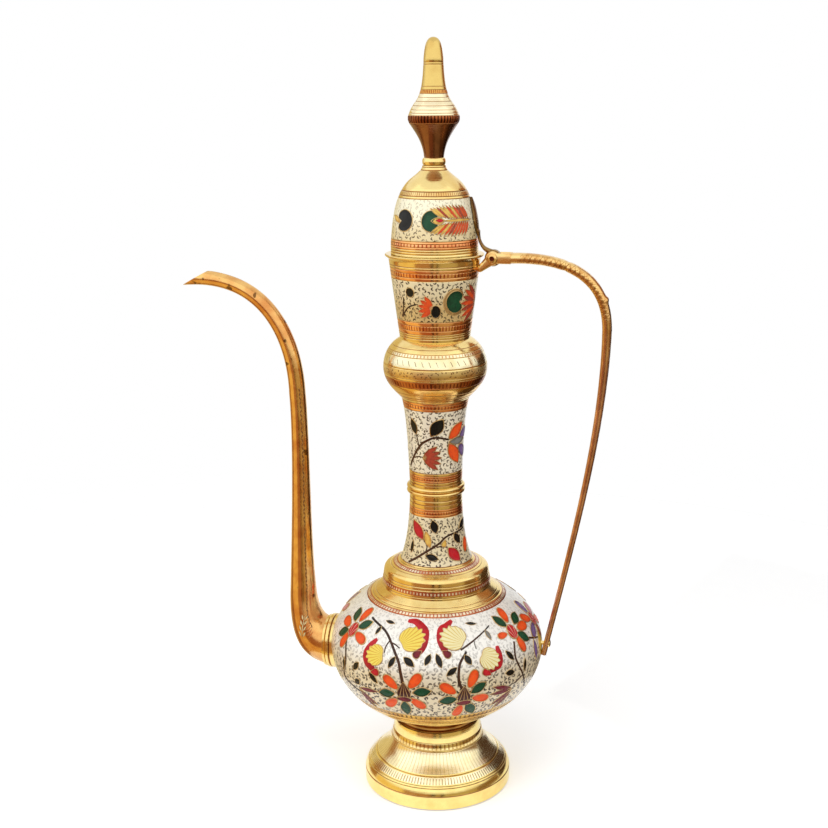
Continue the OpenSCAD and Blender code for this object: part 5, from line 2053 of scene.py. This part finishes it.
    def stroke(self, length: Array, turn: Array, bow: float) -> Array:
        """Depth of the engraved strokes, from nought to one.

        Args:
            length: places along the bar.
            turn: directions round the bar, in radians.
            bow: length at which the strokes end.
        Returns:
            The depths.
        """
        crossed = [length / self.stroke_pitch + lean * np.cos(turn) for lean in (0.55, -0.55)]
        cut = np.maximum(*(((1 + np.cos(math.tau * phase)) / 2) ** 6 for phase in crossed))
        ease = np.clip((length - self.plain_start) / 4, 0, 1) * np.clip((bow - 4 - length) / 4, 0, 1)
        return cut * ease * np.abs(np.sin(turn)) ** 1.5

    def build_pin(self) -> None:
        """Builds the hinge pin: a shaft with domed heads, each with a small sunken eye."""
        low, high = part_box("hinge_pin")
        reach = (high.x - low.x) / 2 / MM
        end = high.y / MM
        head = end - self.pin_head_t
        half = [(self.eye_r, end - 0.35), (self.eye_r + 0.25, end), (reach - 0.6, end - 0.1),
                (reach, end - 0.5), (reach, head), (self.pin_r, head)]
        section = np.array([(0, end - 0.45), *half, *((r, -z) for r, z in half[::-1]), (0, 0.45 - end)])
        pin = coated(spun("lid_hinge_pin", section[::-1], 48), HANDLE)
        pin.data.materials.append(made(PIN_EYE))
        for face in pin.data.polygons:
            if math.hypot(face.center.x, face.center.y) < self.eye_r * MM:
                face.material_index = 1
        mount(smoothed(self.on_pin(pin)), "vessel", "dark_brass", "hinge_pin")

    def bar(self) -> Piece:
        """The looped bar, with engraved strokes along its top and a small thorn at its bow."""
        line, thick, wide, bow = self.path()
        ways = ways_of(line)
        ways[0] = (1, 0)
        lengths = lengths_of(line)
        turn = np.linspace(0, math.tau, self.sides, endpoint=False)
        rings = []
        for at, way, depth, width, length in zip(line, ways, thick, wide, lengths):
            notch = 0.35 * math.exp(-((length - self.notch_at) / 1.4) ** 2)
            sink = self.stroke_depth * self.stroke(length, turn, lengths[bow]) + notch
            thorn = self.thorn * math.exp(-((length - lengths[bow] + self.thorn_back) / 1.6) ** 2)
            ring = self.ring(at, way, depth, width)
            outward = np.column_stack((np.cos(turn) * way[1], np.sin(turn), -np.cos(turn) * way[0]))
            lift = thorn * np.clip(-np.cos(turn), 0, 1) ** 3 - sink
            rings.append(ring + outward * lift[:, None])
        return lofted("bar", np.array(rings))

    def cheek(self, middle: float) -> list[Piece]:
        """One cheek of the fork: a domed knuckle, an arm to the bar and a lug under the rim.

        Args:
            middle: the cheek's place across the handle.
        Returns:
            Its three pieces.
        """
        hinge = np.array((self.hinge_x, self.hinge_z))
        half = self.cheek_t / 2
        rim = half_round(self.cheek_r - self.cheek_round, self.cheek_round, 0.0, half, 9)
        knuckle = self.on_pin(spun("knuckle", np.vstack(([(0, -half)], rim, [(0, half)])), 48), middle)
        stops = np.linspace(hinge + (1.5, 0), (self.fork_end, self.hinge_z), 8)
        flat = np.array((1, 0))
        arm = lofted("arm", np.array([self.ring(at, flat, self.top_t, self.cheek_t, middle) for at in stops]))
        size = np.linalg.norm(np.array(self.lug) - hinge)
        way = (np.array(self.lug) - hinge) / size
        rings = []
        for share in np.linspace(0.2, 1, 8):
            depth = 2 * (self.cheek_r * (1 - share) + self.lug_r * share) * self.lug_flat
            rings.append(self.ring(hinge + way * size * share, way, depth, self.cheek_t, middle))
        for turn in np.linspace(0, math.pi / 2, 10)[1:]:
            at = np.array(self.lug) + way * self.lug_r * math.sin(turn)
            depth = 2 * self.lug_r * self.lug_flat * max(math.cos(turn), 0.1)
            rings.append(self.ring(at, way, depth, self.cheek_t * max(math.cos(turn), 0.3), middle))
        return [knuckle, arm, lofted("lug", np.array(rings))]


# Studio


@dataclass(frozen=True)
class Card:
    """A coloured card on the floor and beside the vessel, between two turns from the camera.

    Its rows, as reach and height, are given where it hangs elsewhere.
    """

    name: str
    start: float
    end: float
    tone: str
    near: float = 0.14
    far: float = 0.9
    top: float = 0.3
    lift: float = 0.001
    rows: tuple[Point, ...] = ()
    glow: float = 1.0

    def hang(self, studio: "Studio") -> None:
        """Hangs the card, so that only mirrors show it.

        Args:
            studio: the studio, whose camera the turns are counted from.
        """
        steps = max(1, round((self.end - self.start) / 6))
        card = started(self.name, bpy.ops.mesh.primitive_grid_add, x_subdivisions=steps, y_subdivisions=2)
        rows = self.rows or ((self.near, self.lift), (self.far, self.lift), (self.far, self.top))
        middle, half = (self.start + self.end) / 2, (self.end - self.start) / 2
        set_points(card.data, np.array([studio.around(middle + x * half, *rows[round(y) + 1])
                                        for x, y, _ in points_of(card.data)]))
        material = bpy.data.materials.new(self.name)
        material.use_nodes = True
        material.node_tree.nodes.clear()
        nodes = Nodes(material.node_tree)
        glow = nodes.node("ShaderNodeEmission", self.tone, self.glow)
        nodes.node("ShaderNodeOutputMaterial", glow.outputs[0])
        card.data.materials.append(material)
        for ray in ("camera", "diffuse", "transmission", "volume_scatter", "shadow"):
            setattr(card, f"visible_{ray}", False)


# Each lamp's turn from the camera, reach, height, size and power
LAMPS = {"key": (-42, 1.0, 0.75, 1.2, 5.5), "fill": (60, 1.2, 0.6, 0.6, 2.0), "top": (-10, 0.5, 1.3, 0.5, 3.0)}
# Height that the lamps look at
LAMP_AIM = 0.22
CARDS = (Card("left_back", -168, -124, "#DCC890", far=0.5, top=0.55),
         Card("left_brown", -124, -104, "#A87848", far=0.5), Card("left_gold", -104, -52, "#F6D48A"),
         Card("left_copper", -52, -10, "#B38159"),
         Card("left_strip", -10, -4, "#1E1812"), Card("front_gold", -4, 4, "#BC9A68"),
         Card("right_strip", 4, 9, "#241C14"), Card("right_olive", 9, 60, "#BCA679"),
         Card("right_brown", 60, 104, "#8A6A44"), Card("right_dark", 104, 146, "#4A3626", far=0.5, top=0.36),
         Card("right_rust", 104, 146, "#A87452", rows=((0.5, 0.36), (0.5, 0.5), (0.5, 0.64))),
         Card("window", -100, 88, "#FFFFFF", rows=((0.9, 0.42), (0.85, 0.7), (0.45, 1.05)), glow=1.3))


@dataclass
class Studio:
    """The floor, lamps, world and camera."""

    lens: float = 57.8
    pitch: float = 13.9
    azimuth: float = 13.0
    roll: float = -0.334
    distance: float = 0.7738
    height: float = 0.4289
    shift: float = -0.026
    ambient: float = 0.5

    def around(self, turn: float, reach: float, height: float) -> tuple[float, float, float]:
        """A place round the vessel, by turn from the camera to the right, reach and height in metres."""
        angle = math.radians(self.azimuth - 90 + turn)
        return reach * math.cos(angle), reach * math.sin(angle), height

    def build(self) -> None:
        """Builds the studio."""
        self.set_camera()
        self.set_world()
        self.set_lamps()
        for card in CARDS:
            card.hang(self)
        self.set_floor()
        bpy.context.scene.view_settings.view_transform = "Standard"

    def set_camera(self) -> None:
        """Places the camera at the photograph's view."""
        lens = bpy.data.cameras.new("view")
        lens.lens = self.lens
        lens.sensor_width = 36
        lens.sensor_fit = "HORIZONTAL"
        lens.shift_x = self.shift
        lens.clip_start = 0.01
        camera = bpy.data.objects.new("view", lens)
        bpy.context.collection.objects.link(camera)
        camera.location = self.around(0, self.distance, self.height)
        camera.rotation_euler = (math.radians(90 - self.pitch), 0, math.radians(self.azimuth))
        camera.rotation_euler.rotate_axis("Z", math.radians(self.roll))
        bpy.context.scene.camera = camera

    def set_world(self) -> None:
        """Lights the vessel evenly, and shows white to the camera and to mirrors."""
        world = bpy.data.worlds.new("studio")
        world.use_nodes = True
        world.node_tree.nodes.clear()
        nodes = Nodes(world.node_tree)
        strength = nodes.math("MULTIPLY_ADD", nodes.seen(), 1 - self.ambient, self.ambient)
        sky = nodes.node("ShaderNodeBackground", (1, 1, 1, 1), strength)
        nodes.node("ShaderNodeOutputWorld", sky.outputs[0])
        bpy.context.scene.world = world

    def set_lamps(self) -> None:
        """Hangs the soft lamps, which mirrors don't show."""
        for name, (turn, reach, height, size, power) in LAMPS.items():
            data = bpy.data.lights.new(name, "AREA")
            data.energy = power
            data.size = size
            lamp = bpy.data.objects.new(name, data)
            bpy.context.collection.objects.link(lamp)
            lamp.location = self.around(turn, reach, height)
            aim = -lamp.location
            aim.z += LAMP_AIM
            lamp.rotation_euler = aim.to_track_quat("-Z", "Y").to_euler()
            lamp.visible_glossy = False

    def set_floor(self) -> None:
        """Lays the pale floor, which fades into the white."""
        floor = started("floor", bpy.ops.mesh.primitive_circle_add, vertices=96, radius=0.9, fill_type="TRIFAN",
                        location=(0, 0, -0.0006))
        shader = Shader("pale_floor")
        size = shader.node("ShaderNodeVectorMath", shader.place(), operation="LENGTH").outputs["Value"]
        shader.set(base_color=(0.93, 0.93, 0.93, 1), roughness=0.6, emission_color=(1, 1, 1, 1),
                   emission_strength=shader.math("MULTIPLY", shader.seen(), 0.38),
                   alpha=shader.ramp(size, 0.25, 0.8, 1.0, 0.0))
        floor.data.materials.append(shader.material)


def dress_kept_nodes(nodes: dict[str, Piece]) -> None:
    """Gives the nodes that stay their finish.

    Args:
        nodes: the frame's nodes by name.
    """
    finishes = {"lid_bezel": POLISHED, "finial_nut": DARK}
    for name, finish in finishes.items():
        coated(nodes[name], finish)


def main() -> None:
    """Builds the surahi and its studio."""
    logging.basicConfig(level=logging.INFO, format="%(name)s: %(message)s")
    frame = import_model()
    Studio().build()
    dress_kept_nodes(frame["nodes"])
    for part in (Foot, Belly, Shoulder, Neck, Bulb, Mouth, Lid, Spout, Handle):
        part().build()


if __name__ == "__main__":
    main()
